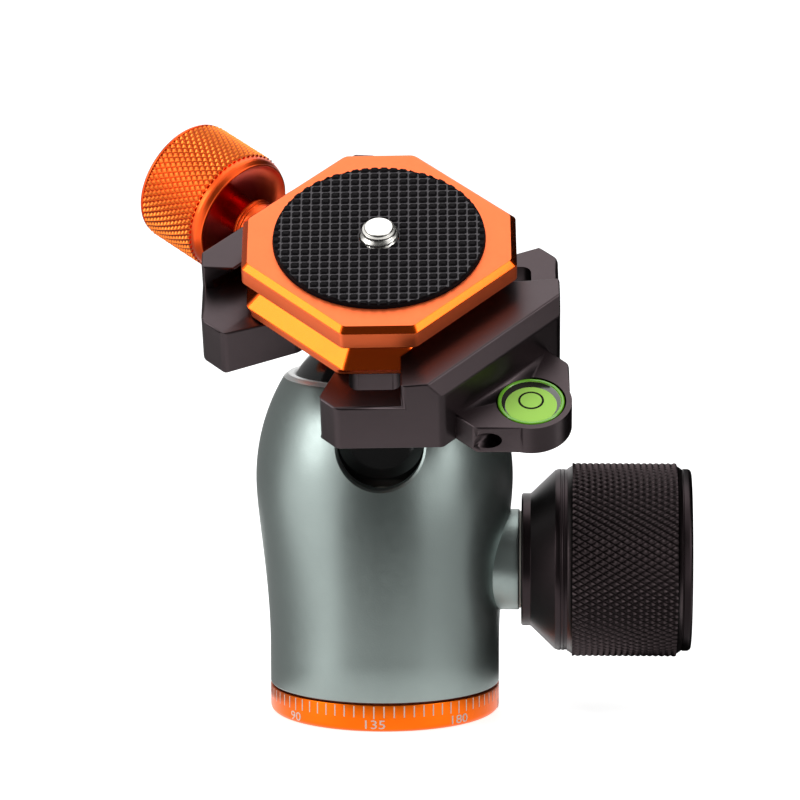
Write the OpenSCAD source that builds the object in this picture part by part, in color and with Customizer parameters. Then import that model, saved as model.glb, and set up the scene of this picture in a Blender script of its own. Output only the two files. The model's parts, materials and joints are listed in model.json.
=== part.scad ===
// Tripod ball head with a panning base, a locking ball and a dovetail clamp with its plate.
// Units are millimetres, +Z is up. The origin is the mouth of the tripod thread.
// The lock knob points along +X, and the drop notch faces -Y.
// The head frame has its origin at the ball's centre and its Z along the ball's neck;
// there the clamp knob points along -X and the plate slides along Y.

/* [Panning base] */
// Height of the base ring
ring_h = 4.6; // [4.2:0.1:6]
// Width of the rounding at the ring's lower edge
ring_edge = 1.4; // [0.6:0.1:2]
// Visible gap between the ring and the housing
seam_gap = 0.33; // [0.3:0.01:0.5]
// Wall radius of the 3/8 inch tripod thread
tripod_r = 4.76; // [4.6:0.01:4.9]
// Depth of the tripod thread
tripod_depth = 9.5; // [8:0.5:10]
// Radius of the spindle that the housing turns on
spindle_r = 8; // [7.6:0.1:8.4]
// Radius of the spindle's flange under the ring
flange_r = 12.5; // [12.3:0.1:13]
// Thickness of the spindle's flange
flange_t = 2.4; // [2:0.1:2.6]
// Number of screws that hold the ring on the spindle
base_screw_n = 3; // [3:1:4]
// Radius of each base screw's shank
base_screw_r = 1; // [0.8:0.1:1.1]
// Depth of the base screws below the flange's face
screw_sunk = 0.2; // [0.1:0.05:0.3]
// Thickness of the thrust washer
washer_t = 0.45; // [0.4:0.05:0.7]
// Thickness of the retainer above the housing floor
retainer_t = 2; // [1.6:0.1:2.4]

/* [Housing] */
// Wall of the housing at its foot
foot_wall = 1.4; // [1.2:0.1:2]
// Wall of the housing at its widest
bulge_wall = 3.67; // [3.2:0.01:4.5]
// Width of the rim's flat top
rim_wall = 0.9; // [0.6:0.1:1.4]
// Height of the bevel on the rim
rim_bevel = 0.6; // [0.4:0.1:0.8]
// Height of the rim above the ball's centre
rim_rise = 9.5; // [9:0.1:10]
// Drop of the widest place below the ball's centre
bulge_drop = 8; // [6:0.5:10]
// Height of the straight foot
foot_h = 11; // [9:0.5:13]
// Thickness of the housing floor
floor_t = 4.6; // [4:0.1:5]
// Radius of the boss behind the lock knob
boss_r = 8.4; // [7.6:0.1:9]
// Distance from the housing axis to the boss's face
boss_x = 22.5; // [22.3:0.1:24]

/* [Ball and drop notch] */
// Radius of the ball
ball_r = 17.5; // [17:0.1:18]
// Radius of the ball's neck
neck_r = 6.6; // [6:0.1:6.8]
// Length of the neck from the ball's centre
neck_l = 22.05; // [22:0.05:24]
// Side room of the neck in the notch
notch_side = 0.5; // [0.4:0.05:0.8]
// Height of the notch's rounding above the ball's centre
notch_rise = 0.2; // [0:0.1:0.3]
// Lean of the neck from upright towards the notch
lean = 33.6; // [20:0.1:40]
// Turn of the clamp about the neck, from jaws at 45 degrees
clamp_turn = 1.5; // [-10:0.5:10]

/* [Lock mechanism] */
// Height of the lock knob's axis
knob_z = 25.5; // [25:0.1:27]
// Half height of the wedge at its thick end
wedge_half = 3; // [2.8:0.1:3.2]
// Length of the wedge
wedge_l = 20; // [18:0.5:21]
// Distance from the housing's axis to the wedge's thin end
wedge_x = 9; // [8.5:0.25:10]
// Width of the wedge
wedge_w = 8; // [7:0.2:9]
// Slope of each wedge face
wedge_slope = 5; // [4:0.5:6]
// Travel of the wedge when the knob is backed off
wedge_travel = 1.25; // [1:0.25:2]
// Radius of the draw bolt
bolt_r = 3; // [2.6:0.1:3.2]
// Depth of the draw bolt's root in the wedge
bolt_sunk = 0.5; // [0.3:0.1:0.8]
// Thickness of the stop nut on the draw bolt
stop_t = 2.4; // [2:0.1:3]
// Room between the draw bolt's end and the knob's cap
bolt_room = 2.3; // [1.5:0.1:3]
// Half the gap between the brake block and the carrier
split = 0.7; // [0.5:0.1:0.9]
// Thickness of the carrier above the wedge
carrier_roof = 1.2; // [1:0.1:1.6]
// Radius where the cup's seat begins
cup_hole_r = 9; // [8:0.5:11]
// Thickness of the brake pad
pad_t = 1.2; // [1:0.1:1.6]
// Outer radius of a carrier spring
spring_r = 2; // [1.8:0.1:2.2]
// Radius of the spring wire
wire_r = 0.35; // [0.3:0.05:0.4]
// Distance of each carrier spring from the lock's axis
spring_y = 12; // [11.5:0.5:12.5]
// Distance of each carrier spring from the plane across the lock's axis
spring_x = 6; // [5:0.5:6.5]
// Depth of the spring pockets in the carrier
pocket_up = 1.6; // [1.2:0.1:2]
// Depth of the spring pockets in the brake block
pocket_down = 4; // [3:0.5:6]

/* [Lock knob] */
// Radius of the knurled grip
grip_r = 16.1; // [15.4:0.1:16.9]
// Length of the knurled grip
grip_l = 17; // [15:0.5:20]
// Radius of the knob's flange
knob_flange_r = 11.03; // [10:0.1:12]
// Thickness of the knob's flange
knob_flange_t = 1.6; // [1:0.1:2]
// Length of the knob's cone
cone_l = 4.1; // [3:0.1:5]
// Width of the rounding between the cone and the band
cone_round = 0.5; // [0.3:0.1:0.8]
// Radius of the smooth bands on either side of the grip
band_r = 15.1; // [14.6:0.1:15.3]
// Length of the smooth band behind the grip
band_l = 1.9; // [1:0.1:2.4]
// Length of the chamfer at each end of the grip
grip_chamfer = 1; // [0.6:0.1:1.4]
// Length of the end cap
cap_l = 1.6; // [1.3:0.1:3]
// Radius of the rounding on the cap's edge
cap_round = 0.7; // [0.4:0.1:1]
// Width of the cap's flat edge round its sunk face
cap_edge = 4; // [3:0.5:6]
// Depth of the cap's sunk face
cap_sunk = 0.4; // [0.2:0.1:0.6]
// Wall of the knurled grip
grip_wall = 3.3; // [2.5:0.1:4]
// Radius of the knob's steel nut
nut_r = 5.5; // [4.8:0.1:6]
// Length of the knob's steel nut
nut_l = 8; // [6:0.5:9]

/* [Clamp body] */
// Thickness of the clamp's floor
clamp_t = 8.6; // [8:0.1:9]
// Distance from the neck's axis to the outer wall of the fixed jaw
fixed_out = 27.35; // [26.5:0.05:28.5]
// Distance from the neck's axis to each end of the clamp
clamp_half = 25.3; // [24.5:0.1:26]
// Sum of X and Y along the cut corners
corner_sum = 40.75; // [40:0.05:41.5]
// Distance from the neck's axis to the fixed floor's inner end
fixed_in = 11.5; // [11:0.1:12.5]
// Distance from the neck's axis to the hub's face towards the moving jaw
hub_x = 9; // [8.4:0.1:9.4]
// Half width of the hub over the neck
hub_half = 11.3; // [11:0.1:12]
// Distance from the neck's axis to the fixed jaw's ridge
ridge_x = 25.7; // [25:0.1:26]
// Height of the fixed jaw's ridge above the floor
ridge_h = 4.95; // [4.7:0.05:5.2]
// Height of the fixed jaw's outer wall above the floor
outer_h = 2.2; // [1.6:0.1:3]
// Where the fixed jaw's relief meets the X axis
relief_fixed = 4.7; // [4:0.1:6]
// Length of each floor window along the cut corner
window_l = 8.2; // [7:0.2:8.6]
// Width of each floor window
window_w = 7.4; // [5:0.2:8]
// Corner radius of each floor window
window_r = 1.5; // [1:0.1:2.4]
// Width of the floor's rim outside a window
window_rim = 4.4; // [3.6:0.1:5]
// Radius of the screw that joins the clamp to the neck
mount_r = 3; // [2.5:0.1:3.2]
// Radius of that screw's head
mount_head_r = 4.3; // [4:0.1:4.4]
// Height of that screw's head
mount_head_h = 3; // [2.5:0.1:3.5]
// Length of that screw's thread in the neck
mount_l = 10; // [8:0.5:12]
// Size of the cut at the hub's corners
hub_cut = 3; // [2.5:0.1:3.5]
// Room between the hub and the moving jaw round it
hub_room = 0.7; // [0.5:0.1:0.9]
// Distance of each guide pin from the clamp's middle
pin_y = 8; // [7.6:0.1:8.4]
// Radius of each guide pin
pin_r = 1.5; // [1.3:0.1:1.6]
// Depth of the guide pins in the fixed half, past the middle
pin_in = 5; // [4:0.5:6]
// Outer radius of each jaw spring
jaw_spring_r = 2.3; // [2.1:0.1:2.4]
// Distance from the neck's axis to the inner end of the jaw springs
pocket_in = 4; // [3.5:0.5:5]
// Distance from the neck's axis to the outer end of the jaw springs
pocket_out = 16; // [15:0.5:17]

/* [Moving jaw and clamp knob] */
// Distance from the neck's axis to the moving jaw's outer wall
moving_out = 25; // [24.5:0.1:26]
// Width of the moving jaw's outer bevel
moving_bevel = 1.7; // [1.2:0.1:2.2]
// Distance from the neck's axis to the moving floor's inner end
moving_in = 10.35; // [10:0.05:11]
// Where the moving jaw's relief meets the X axis
relief_moving = 1.1; // [0.6:0.1:2.4]
// Slope of the ramp on the moving jaw's floor
ramp_slope = 9.5; // [6:0.5:12]
// Width of the ramp outside the moving floor's inner end
ramp_start = 0.6; // [0.3:0.1:1]
// Depth of the clamp screw's axis below the plate's top
screw_drop = 14.15; // [13.8:0.05:14.4]
// Radius of the clamp screw
clamp_screw_r = 2.5; // [2.2:0.1:2.6]
// Distance from the neck's axis to the clamp knob's inner face
clamp_knob_x = 32.3; // [31.6:0.1:35]
// Length of the clamp knob
clamp_knob_l = 14.4; // [12:0.1:16]
// Radius of the clamp knob
clamp_knob_r = 10.5; // [9.8:0.1:10.6]
// Length of the bevel behind the clamp knob's rim
rim_l = 1.3; // [0.8:0.1:2]
// Drop of the clamp knob's rim below its grip
rim_drop = 0.45; // [0.2:0.05:0.8]
// Width of the clamp knob's rim round the dish
dish_wall = 0.45; // [0.3:0.05:1]
// Depth of the dish round the hub
dish_depth = 2.2; // [1.5:0.1:3]
// Radius of the clamp knob's hub
clamp_hub_r = 4.1; // [3.6:0.1:4.6]
// Height of the hub's collar over the rim, towards the jaw
collar_rise = 2.9; // [2:0.1:4]
// Wall of the clamp knob's closed end
end_wall = 3; // [2:0.5:4]
// Room between the clamp knob's hub and the jaw, filled by the washer
washer_room = 1; // [0.8:0.1:1.4]

/* [Plate] */
// Thickness of the plate
plate_t = 10.45; // [10.2:0.05:10.8]
// Half width of the plate's slab
slab_half = 19.7; // [19.5:0.05:20]
// Distance from the plate's centre to a cut corner of the slab
slab_corner = 21.97; // [21:0.05:22.6]
// Width of the chamfer round the top
top_chamfer = 0.9; // [0.5:0.1:1.4]
// Thickness of the slab above the groove
slab_t = 3.8; // [3.6:0.1:3.9]
// Half width of the dovetail at its widest
dovetail_half = 19.25; // [19:0.05:19.4]
// Depth of the V groove
groove = 2.6; // [2.5:0.05:2.7]
// Radius of the friction pad
pad_r = 17; // [16:0.1:18]
// Thickness of the friction pad
pad_h = 1.6; // [1.2:0.1:2]
// Depth of the pad's seat in the plate
pad_sunk = 0.6; // [0.4:0.1:0.8]
// Radius of the hole in the pad
pad_hole_r = 4.1; // [3.8:0.1:5]
// Radius of the camera screw
camera_r = 3.07; // [3:0.01:3.175]
// Height of the camera screw above the plate
camera_up = 2.6; // [2.4:0.1:5.5]
// Height of the taper at the camera screw's tip
camera_tip = 0.9; // [0.5:0.1:1.2]
// Radius of the camera screw's head
camera_head_r = 7; // [6:0.1:7.4]
// Thickness of the camera screw's head
camera_head_t = 2.4; // [2:0.1:2.6]
// Width and depth of the slot in that head
slot_w = 1.2; // [0.8:0.1:1.6]
// Thickness of the clip that keeps the camera screw in the plate
clip_t = 0.5; // [0.4:0.05:0.6]
// Height of that clip above the plate's underside
clip_up = 0.2; // [0.1:0.05:0.3]
// Width of that clip
clip_w = 1.8; // [1.4:0.1:2.4]

/* [Spirit level] */
// Distance from the neck's axis to the level's centre
level_x = 33.7; // [33:0.1:35]
// Radius of the level
level_r = 5.28; // [4.6:0.02:5.4]
// Depth of the level below the boss's top
level_h = 4; // [3.4:0.1:4.2]
// Height of the level above the boss's top
level_proud = 0.15; // [0:0.05:0.4]
// Wall of the level's cup
level_wall = 0.6; // [0.4:0.1:0.9]
// Thickness of the level's base
level_base = 1; // [0.6:0.1:1.4]
// Radius of the hole in the boss's side
side_hole_r = 1.6; // [1.2:0.1:1.8]
// Radius of the boss round the level
level_boss_r = 6.5; // [6.4:0.1:7.2]
// Half width of the boss at the clamp's wall
level_boss_half = 10.6; // [9:0.1:11.5]
// Depth of the boss's top below the plate's top
level_drop = 13.8; // [13.6:0.1:14.4]

/* [Fits] */
// Radial clearance of a running fit
fit = 0.05; // [0.03:0.01:0.08]
// Gap between two flat faces that slide or turn
face_gap = 0.05; // [0.03:0.01:0.08]
// Room of the ball in the housing's straight bore
ball_room = 0.2; // [0.15:0.05:0.3]
// Room of a part that only has to clear its neighbour
clear = 0.3; // [0.25:0.05:0.4]

/* [Hidden] */
$fn = 72;

slate = [0.38, 0.44, 0.43];
copper = [0.95, 0.42, 0.12];
black = [0.12, 0.12, 0.13];
steel = [0.75, 0.76, 0.78];

// Housing radii, all from the ball
chamber_r = ball_r + ball_room;
seat_r = ball_r + fit;
foot_r = chamber_r + foot_wall;
bulge_r = chamber_r + bulge_wall;
insert_r = chamber_r - 2 * fit;

// Heights of the panning base, from the ring upwards
foot_z = ring_h + seam_gap;
floor_z = ring_h + washer_t + face_gap;
shoulder_z = floor_z + floor_t + face_gap;
retainer_z = shoulder_z + retainer_t;
pad_z = retainer_z + 2 * face_gap;
block_z = pad_z + pad_t;
neck_under_retainer = spindle_r - 1;

// Heights of the lock and the ball, from the knob's axis upwards
carrier_z = knob_z + split;
block_top = knob_z - split;
carrier_top = knob_z + wedge_half + carrier_roof;
ball_z = carrier_top + clear + ball_r;
rim_z = ball_z + rim_rise;
bulge_z = ball_z - bulge_drop;
notch_r = neck_r + notch_side;
notch_z = ball_z + notch_rise;
cup_top = notch_z - notch_r - ball_room;
mouth_r = sqrt(seat_r * seat_r - rim_rise * rim_rise) + clear;

// Lock parts along X
relief_x = wedge_x - bolt_sunk - wedge_travel - clear;

// Lock knob along X
knob_x = boss_x + clear;
cone_x = knob_x + knob_flange_t;
band_x = cone_x + cone_l;
grip_x = band_x + band_l;
cap_x = grip_x + 2 * grip_chamfer + grip_l;
cap_r = band_r + fit;
sleeve_r = grip_r - grip_wall;
nut_x = grip_x;
hollow_r = nut_r + 3;
bolt_end = cap_x - bolt_room;

// Clamp heights in the head frame, from the neck upwards
clamp_z = neck_l + face_gap;
floor_top = clamp_z + clamp_t;
plate_z = floor_top + face_gap;
plate_top = plate_z + plate_t;
screw_z = plate_top - screw_drop;
pin_z = clamp_z + clamp_t / 2;
level_top = plate_top - level_drop;
level_z = level_top - level_h;
jaw_face = dovetail_half + face_gap * 2;
clip_top = plate_z + clip_up + clip_t;
groove_top = plate_top - slab_t;
groove_low = groove_top - 2 * groove;
lip_x = dovetail_half - groove + 0.5;
lip_z = groove_low + face_gap + jaw_face - lip_x;
notch_slope = 0.42;
flange_corner = slab_corner - (slab_half - dovetail_half);
moving_ridge = moving_out - moving_bevel;
screw_tip = mount_head_r + 1;
root = 2;
pin_x = moving_out - 1.5;
hub_end = moving_out + washer_room;
collar_x = collar_rise - clamp_knob_x;

// ---- Helpers ----------------------------------------------------------------------------

// A point at t on the cubic curve with the end points a and d and the handles b and c
function cubic(a, b, c, d, t) =
    pow(1 - t, 3) * a + 3 * pow(1 - t, 2) * t * b + 3 * (1 - t) * t * t * c + pow(t, 3) * d;

// Children drawn in the head frame go where the leaning neck puts them
module at_head() {
    translate([0, 0, ball_z]) rotate([lean, 0, 0]) rotate([0, 0, clamp_turn - 45]) children();
}

// A solid turned about the X axis from [x, radius] points
module turned_x(points) {
    rotate([0, 90, 0]) rotate_extrude() polygon([for (p = points) [p[1], p[0]]]);
}

// A cylinder along X from x0 to x1
module rod_x(x0, x1, r) {
    translate([x0, 0, 0]) rotate([0, 90, 0]) cylinder(h = x1 - x0, r = r);
}

// A ring along Z
module ring_z(z0, z1, r_out, r_in) {
    translate([0, 0, z0]) difference() {
        cylinder(h = z1 - z0, r = r_out);
        translate([0, 0, -1]) cylinder(h = z1 - z0 + 2, r = r_in);
    }
}

// A coil spring along Z, swept as one polyhedron with closed ends
module coil(r, wire, length, turns, steps = 12, sides = 6) {
    n = turns * steps;
    rise = length - 2 * wire;
    rings = [for (i = [0 : n]) for (j = [0 : sides - 1])
        let (a = 360 * i / steps, b = 360 * j / sides, q = r - wire + wire * cos(b))
        [q * cos(a), q * sin(a), wire + rise * i / n + wire * sin(b)]];
    walls = [for (i = [0 : n - 1]) for (j = [0 : sides - 1])
        let (k = (j + 1) % sides)
        [i * sides + j, i * sides + k, (i + 1) * sides + k, (i + 1) * sides + j]];
    first = [for (j = [sides - 1 : -1 : 0]) j];
    last = [for (j = [0 : sides - 1]) n * sides + j];
    polyhedron(points = rings, faces = concat([first], [last], walls), convexity = 8);
}

// ---- Panning base -----------------------------------------------------------------------

// Lower edge of the ring as a quarter of an ellipse
function ring_edge_points() = [for (a = [0 : 15 : 90])
    [foot_r - ring_edge + ring_edge * sin(a), ring_edge * 0.8 * (1 - cos(a))]];

module base_ring() {
    color(copper) difference() {
        rotate_extrude() polygon(concat([[spindle_r + fit, 0]], ring_edge_points(),
            [[foot_r, ring_h], [spindle_r + fit, ring_h]]));
        translate([0, 0, -1]) cylinder(h = flange_t + 1, r = flange_r + fit);
        base_screw_places() cylinder(h = ring_h - 2 * screw_sunk, r = base_screw_r);
    }
}

module base_spindle() {
    color(steel) difference() {
        union() {
            cylinder(h = flange_t, r = flange_r);
            cylinder(h = shoulder_z, r = spindle_r);
            cylinder(h = retainer_z, r = neck_under_retainer);
        }
        translate([0, 0, -1]) cylinder(h = tripod_depth + 1, r = tripod_r);
        base_screw_places() {
            translate([0, 0, -1]) cylinder(h = flange_t + 2, r = base_screw_r);
            translate([0, 0, -1]) cylinder(h = base_screw_r + 1, r = 2 * base_screw_r);
        }
    }
}

// Even places of the base screws, midway between the spindle and the flange's edge
module base_screw_places() {
    for (i = [0 : base_screw_n - 1]) rotate(30 + 360 * i / base_screw_n)
        translate([(spindle_r + flange_r) / 2, 0, 0]) children();
}

module base_screws() {
    color(steel) base_screw_places() {
        translate([0, 0, screw_sunk]) cylinder(h = ring_h - 4 * screw_sunk, r = base_screw_r);
        translate([0, 0, screw_sunk]) cylinder(h = base_screw_r - screw_sunk, r = 2 * base_screw_r);
    }
}

module thrust_washer() {
    color("ivory") ring_z(ring_h, ring_h + washer_t, insert_r - clear, spindle_r + fit);
}

module pan_retainer() {
    color(steel) ring_z(shoulder_z, retainer_z, flange_r, neck_under_retainer);
}

// ---- Housing ----------------------------------------------------------------------------

// Outer outline: straight foot, drawn-in waist, bulge, and an arc up to the bevelled rim
arc_top = rim_z - rim_bevel;
edge_r = mouth_r + rim_wall + rim_bevel * 1.2;
arc_drop = bulge_r - edge_r;
arc_rise = arc_top - bulge_z;
arc_r = (arc_drop * arc_drop + arc_rise * arc_rise) / (2 * arc_drop);
waist_handle = (bulge_z - foot_h) * 0.4;
bulge_handle = (bulge_z - foot_h) * 0.22;

function waist_points() = [for (t = [0 : 1 / 16 : 1]) [
    cubic(foot_r, foot_r, bulge_r, bulge_r, t),
    cubic(foot_h, foot_h + waist_handle, bulge_z - bulge_handle, bulge_z, t)]];

function shoulder_points() = [for (i = [1 : 12])
    let (z = arc_rise * i / 12)
    [bulge_r - arc_r + sqrt(arc_r * arc_r - z * z), bulge_z + z]];

module housing_blank() {
    rotate_extrude($fn = 96) polygon(concat([[0, foot_z], [foot_r, foot_z]],
        waist_points(), shoulder_points(),
        [[mouth_r + rim_wall, rim_z], [0, rim_z]]));
    translate([0, 0, knob_z]) rod_x(foot_r - 4, boss_x, boss_r);
}

module housing() {
    color(slate) difference() {
        housing_blank();
        translate([0, 0, foot_z - 1]) cylinder(h = ball_z - foot_z + 1, r = chamber_r);
        translate([0, 0, ball_z]) sphere(r = seat_r, $fn = 96);
        translate([0, 0, rim_z - clear]) cylinder(h = 1, r1 = mouth_r - clear, r2 = mouth_r + 1 - clear);
        translate([0, 0, knob_z]) rod_x(0, boss_x + 1, bolt_r + fit);
        drop_notch();
    }
}

module drop_notch() {
    translate([0, -bulge_r - 1, notch_z]) rotate([-90, 0, 0]) cylinder(h = bulge_r + 1, r = notch_r);
    translate([-notch_r, -bulge_r - 1, notch_z]) cube([2 * notch_r, bulge_r + 1, rim_z]);
}

module housing_floor() {
    color(slate) ring_z(floor_z, floor_z + floor_t, chamber_r - fit, spindle_r + fit);
}

module knob_washer() {
    color("ivory") translate([boss_x, 0, knob_z]) rotate([0, 90, 0])
        ring_z(0, clear - face_gap, boss_r - clear, bolt_r + clear);
}

// ---- Lock inside the housing ------------------------------------------------------------

// The wedge's side view, thick end at -X, grown by g for the channel round it
module wedge_side(g, x0, x1) {
    drop0 = (x0 + wedge_l - wedge_x) * tan(wedge_slope);
    drop1 = (x1 + wedge_l - wedge_x) * tan(wedge_slope);
    h0 = wedge_half + g - drop0;
    h1 = wedge_half + g - drop1;
    polygon([[x0, -h0], [x1, -h1], [x1, h1], [x0, h0]]);
}

module wedge_body(g, x0, x1) {
    translate([0, wedge_w / 2 + g, knob_z]) rotate([90, 0, 0])
        linear_extrude(wedge_w + 2 * g) wedge_side(g, x0, x1);
}

// Channel for the wedge and, towards the knob, room for the draw bolt
module wedge_channel() {
    wedge_body(face_gap, -chamber_r - 1, wedge_x + clear);
    translate([0, 0, knob_z]) rod_x(relief_x, chamber_r + 1, bolt_r + clear);
}

module spring_places() {
    for (x = [-spring_x, spring_x], y = [-spring_y, spring_y]) translate([x, y, 0]) children();
}

module brake_block() {
    color(steel) difference() {
        translate([0, 0, block_z]) cylinder(h = block_top - block_z, r = insert_r);
        wedge_channel();
        spring_places() translate([0, 0, block_top - pocket_down])
            cylinder(h = pocket_down + 1, r = spring_r + clear);
    }
}

module brake_pad() {
    color("tan") ring_z(pad_z, block_z, flange_r, neck_under_retainer);
}

module carrier_springs() {
    color(steel) spring_places() translate([0, 0, block_top - pocket_down])
        coil(spring_r, wire_r, pocket_down + 2 * split + pocket_up, 4);
}

module cup_carrier() {
    color(steel) difference() {
        translate([0, 0, carrier_z]) cylinder(h = carrier_top - carrier_z, r = insert_r);
        wedge_channel();
        spring_places() translate([0, 0, carrier_z - 1])
            cylinder(h = pocket_up + 1, r = spring_r + clear);
    }
}

module ball_cup() {
    color("ivory") difference() {
        translate([0, 0, carrier_top]) cylinder(h = cup_top - carrier_top, r = insert_r);
        translate([0, 0, carrier_top - 1]) cylinder(h = cup_top, r = cup_hole_r);
        translate([0, 0, ball_z]) sphere(r = seat_r, $fn = 96);
    }
}

module lock_wedge() {
    color(steel) union() {
        wedge_body(0, wedge_x - wedge_l, wedge_x);
        translate([0, 0, knob_z]) rod_x(wedge_x - bolt_sunk, bolt_end, bolt_r);
    }
}

module bolt_stop() {
    color(steel) translate([0, 0, knob_z]) difference() {
        rod_x(bolt_end - stop_t, bolt_end, nut_r);
        rod_x(bolt_end - stop_t - 1, bolt_end + 1, bolt_r + fit);
    }
}

// ---- Lock knob --------------------------------------------------------------------------

module knob_core() {
    color(black) translate([0, 0, knob_z]) difference() {
        turned_x([[knob_x, 0], [knob_x, knob_flange_r], [cone_x, knob_flange_r],
            [band_x - cone_round, band_r - cone_round], [band_x + cone_round / 2, band_r],
            [grip_x, band_r], [grip_x, sleeve_r], [cap_x, sleeve_r], [cap_x, 0]]);
        rod_x(knob_x - 1, nut_x, bolt_r + clear);
        rod_x(nut_x, nut_x + nut_l, nut_r);
        rod_x(nut_x + nut_l, cap_x + 1, hollow_r);
    }
}

module knob_nut() {
    color(steel) translate([0, 0, knob_z]) difference() {
        rod_x(nut_x, nut_x + nut_l, nut_r);
        rod_x(nut_x - 1, nut_x + nut_l + 1, bolt_r + fit);
    }
}

module knob_grip() {
    color(black) translate([0, 0, knob_z])
        turned_x([[grip_x, sleeve_r], [grip_x, band_r], [grip_x + grip_chamfer, grip_r],
            [cap_x - grip_chamfer, grip_r], [cap_x, cap_r], [cap_x, sleeve_r]]);
}

// The cap's outer edge is rounded by a quarter circle
module knob_cap() {
    end_x = cap_x + cap_l;
    color(black) translate([0, 0, knob_z])
        turned_x(concat([[cap_x, 0], [cap_x, cap_r]],
            [for (a = [0 : 15 : 90]) [end_x - cap_round + cap_round * sin(a),
                cap_r - cap_round + cap_round * cos(a)]],
            [[end_x, cap_r - cap_edge], [end_x - cap_sunk, cap_r - cap_edge - cap_sunk],
             [end_x - cap_sunk, 0]]));
}

// ---- Ball -------------------------------------------------------------------------------

module ball() {
    color(black) at_head() difference() {
        union() {
            sphere(r = ball_r, $fn = 96);
            cylinder(h = neck_l, r = neck_r);
        }
        translate([0, 0, neck_l - mount_l - 1]) cylinder(h = mount_l + 2, r = mount_r + fit);
    }
}

// ---- Clamp ------------------------------------------------------------------------------

// Outline of the fixed half: cut corners at the jaw, drawn-in sides towards the hub
module fixed_outline() {
    waist_x = fixed_in - (clamp_half - hub_half) * notch_slope;
    polygon([[fixed_in, -clamp_half], [corner_sum - clamp_half, -clamp_half],
        [fixed_out, fixed_out - corner_sum], [fixed_out, corner_sum - fixed_out],
        [corner_sum - clamp_half, clamp_half], [fixed_in, clamp_half], [waist_x, hub_half],
        [hub_cut - hub_x, hub_half], [-hub_x, hub_half - hub_cut],
        [-hub_x, hub_cut - hub_half], [hub_cut - hub_x, -hub_half], [waist_x, -hub_half]]);
}

// Inner face of a jaw in side view, from inside the floor up to the tip of the lip
function jaw_face_points() = [[jaw_face, floor_top - root], [jaw_face, groove_low + face_gap],
    [lip_x, lip_z], [lip_x + clear / 2, lip_z + clear]];

module fixed_jaw() {
    intersection() {
        rotate([90, 0, 0]) translate([0, 0, -clamp_half]) linear_extrude(2 * clamp_half)
            polygon(concat(jaw_face_points(), [[ridge_x, floor_top + ridge_h],
                [fixed_out, floor_top + outer_h], [fixed_out, floor_top - root]]));
        linear_extrude(plate_top) jaw_plan(relief_fixed, fixed_out + 1);
    }
}

// Plan of a jaw's raised part: relieved towards its ends and cut at the corners
module jaw_plan(relief, x_out) {
    x_mid = (corner_sum + relief) / 2;
    polygon([[relief + 2, -2], [x_mid, relief - x_mid], [x_out, x_out - corner_sum],
        [x_out, corner_sum - x_out], [x_mid, x_mid - relief], [relief + 2, 2]]);
}

module level_boss() {
    d = level_boss_r * cos(45) - 0.2;
    x_side = level_x + d - (level_boss_half - d);
    linear_extrude(level_top - clamp_z) {
        polygon([[fixed_out - 1, -level_boss_half], [x_side, -level_boss_half],
            [level_x + d, -d], [level_x + d, d],
            [x_side, level_boss_half], [fixed_out - 1, level_boss_half]]);
        translate([level_x, 0]) circle(r = level_boss_r);
    }
}

// A window with rounded corners beside a cut corner of the floor
module window(side) {
    rotate(side * 45) translate([corner_sum / sqrt(2) - window_rim - window_w, 0, 0])
        translate([0, -window_l / 2 + side * 0.8, 0]) linear_extrude(clamp_t + 2) {
            translate([window_r, 0]) square([window_w - 2 * window_r, window_l]);
            translate([0, window_r]) square([window_w, window_l - 2 * window_r]);
            for (x = [window_r, window_w - window_r], y = [window_r, window_l - window_r])
                translate([x, y]) circle(r = window_r, $fn = 24);
        }
}

module clamp_body() {
    color(black) at_head() difference() {
        union() {
            translate([0, 0, clamp_z]) linear_extrude(clamp_t) fixed_outline();
            translate([0, 0, clamp_z]) level_boss();
            fixed_jaw();
        }
        translate([0, 0, clamp_z - 1]) cylinder(h = clamp_t + 2, r = mount_r + fit);
        translate([0, 0, floor_top - mount_head_h - face_gap])
            cylinder(h = mount_head_h + 1, r = mount_head_r + fit);
        for (side = [-1, 1]) translate([0, 0, clamp_z - 1]) window(side);
        translate([0, 0, screw_z]) rod_x(-hub_x - 1, -screw_tip + clear, clamp_screw_r + fit);
        for (y = [-pin_y, pin_y]) translate([0, y, pin_z]) {
            rod_x(-hub_x - 1, pin_in, pin_r);
            rod_x(-hub_x - 1, -pocket_in, jaw_spring_r + clear);
        }
        translate([level_x, 0, level_z]) cylinder(h = level_h + 1, r = level_r + clear);
        translate([level_x - side_hole_r / 3, -level_boss_r - clear, clamp_z + side_hole_r + 1])
            rotate([90, 0, 0]) cylinder(h = level_boss_half, r = side_hole_r);
    }
}

module mount_screw() {
    color(steel) at_head() {
        translate([0, 0, neck_l - mount_l])
            cylinder(h = floor_top - mount_head_h / 2 - neck_l + mount_l, r = mount_r);
        translate([0, 0, floor_top - mount_head_h]) difference() {
            cylinder(h = mount_head_h - face_gap, r = mount_head_r);
            translate([0, 0, mount_head_h / 2])
                cylinder(h = mount_head_h, r = mount_head_r / 2, $fn = 6);
        }
    }
}

module guide_pins() {
    color(steel) at_head() for (y = [-pin_y, pin_y]) translate([0, y, pin_z])
        rod_x(-pin_x, pin_in, pin_r);
}

// ---- Spirit level -----------------------------------------------------------------------

module level_cup() {
    color([0.45, 0.75, 0.1]) at_head() translate([level_x, 0, level_z]) difference() {
        cylinder(h = level_h + level_proud, r = level_r);
        level_room();
    }
}

module level_liquid() {
    color([0.7, 1, 0.3]) at_head() translate([level_x, 0, level_z]) level_room();
}

// The closed space that the liquid fills
module level_room() {
    translate([0, 0, level_base])
        cylinder(h = level_h + level_proud - level_base - level_wall, r = level_r - level_wall);
}

// ---- Moving jaw -------------------------------------------------------------------------

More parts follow.
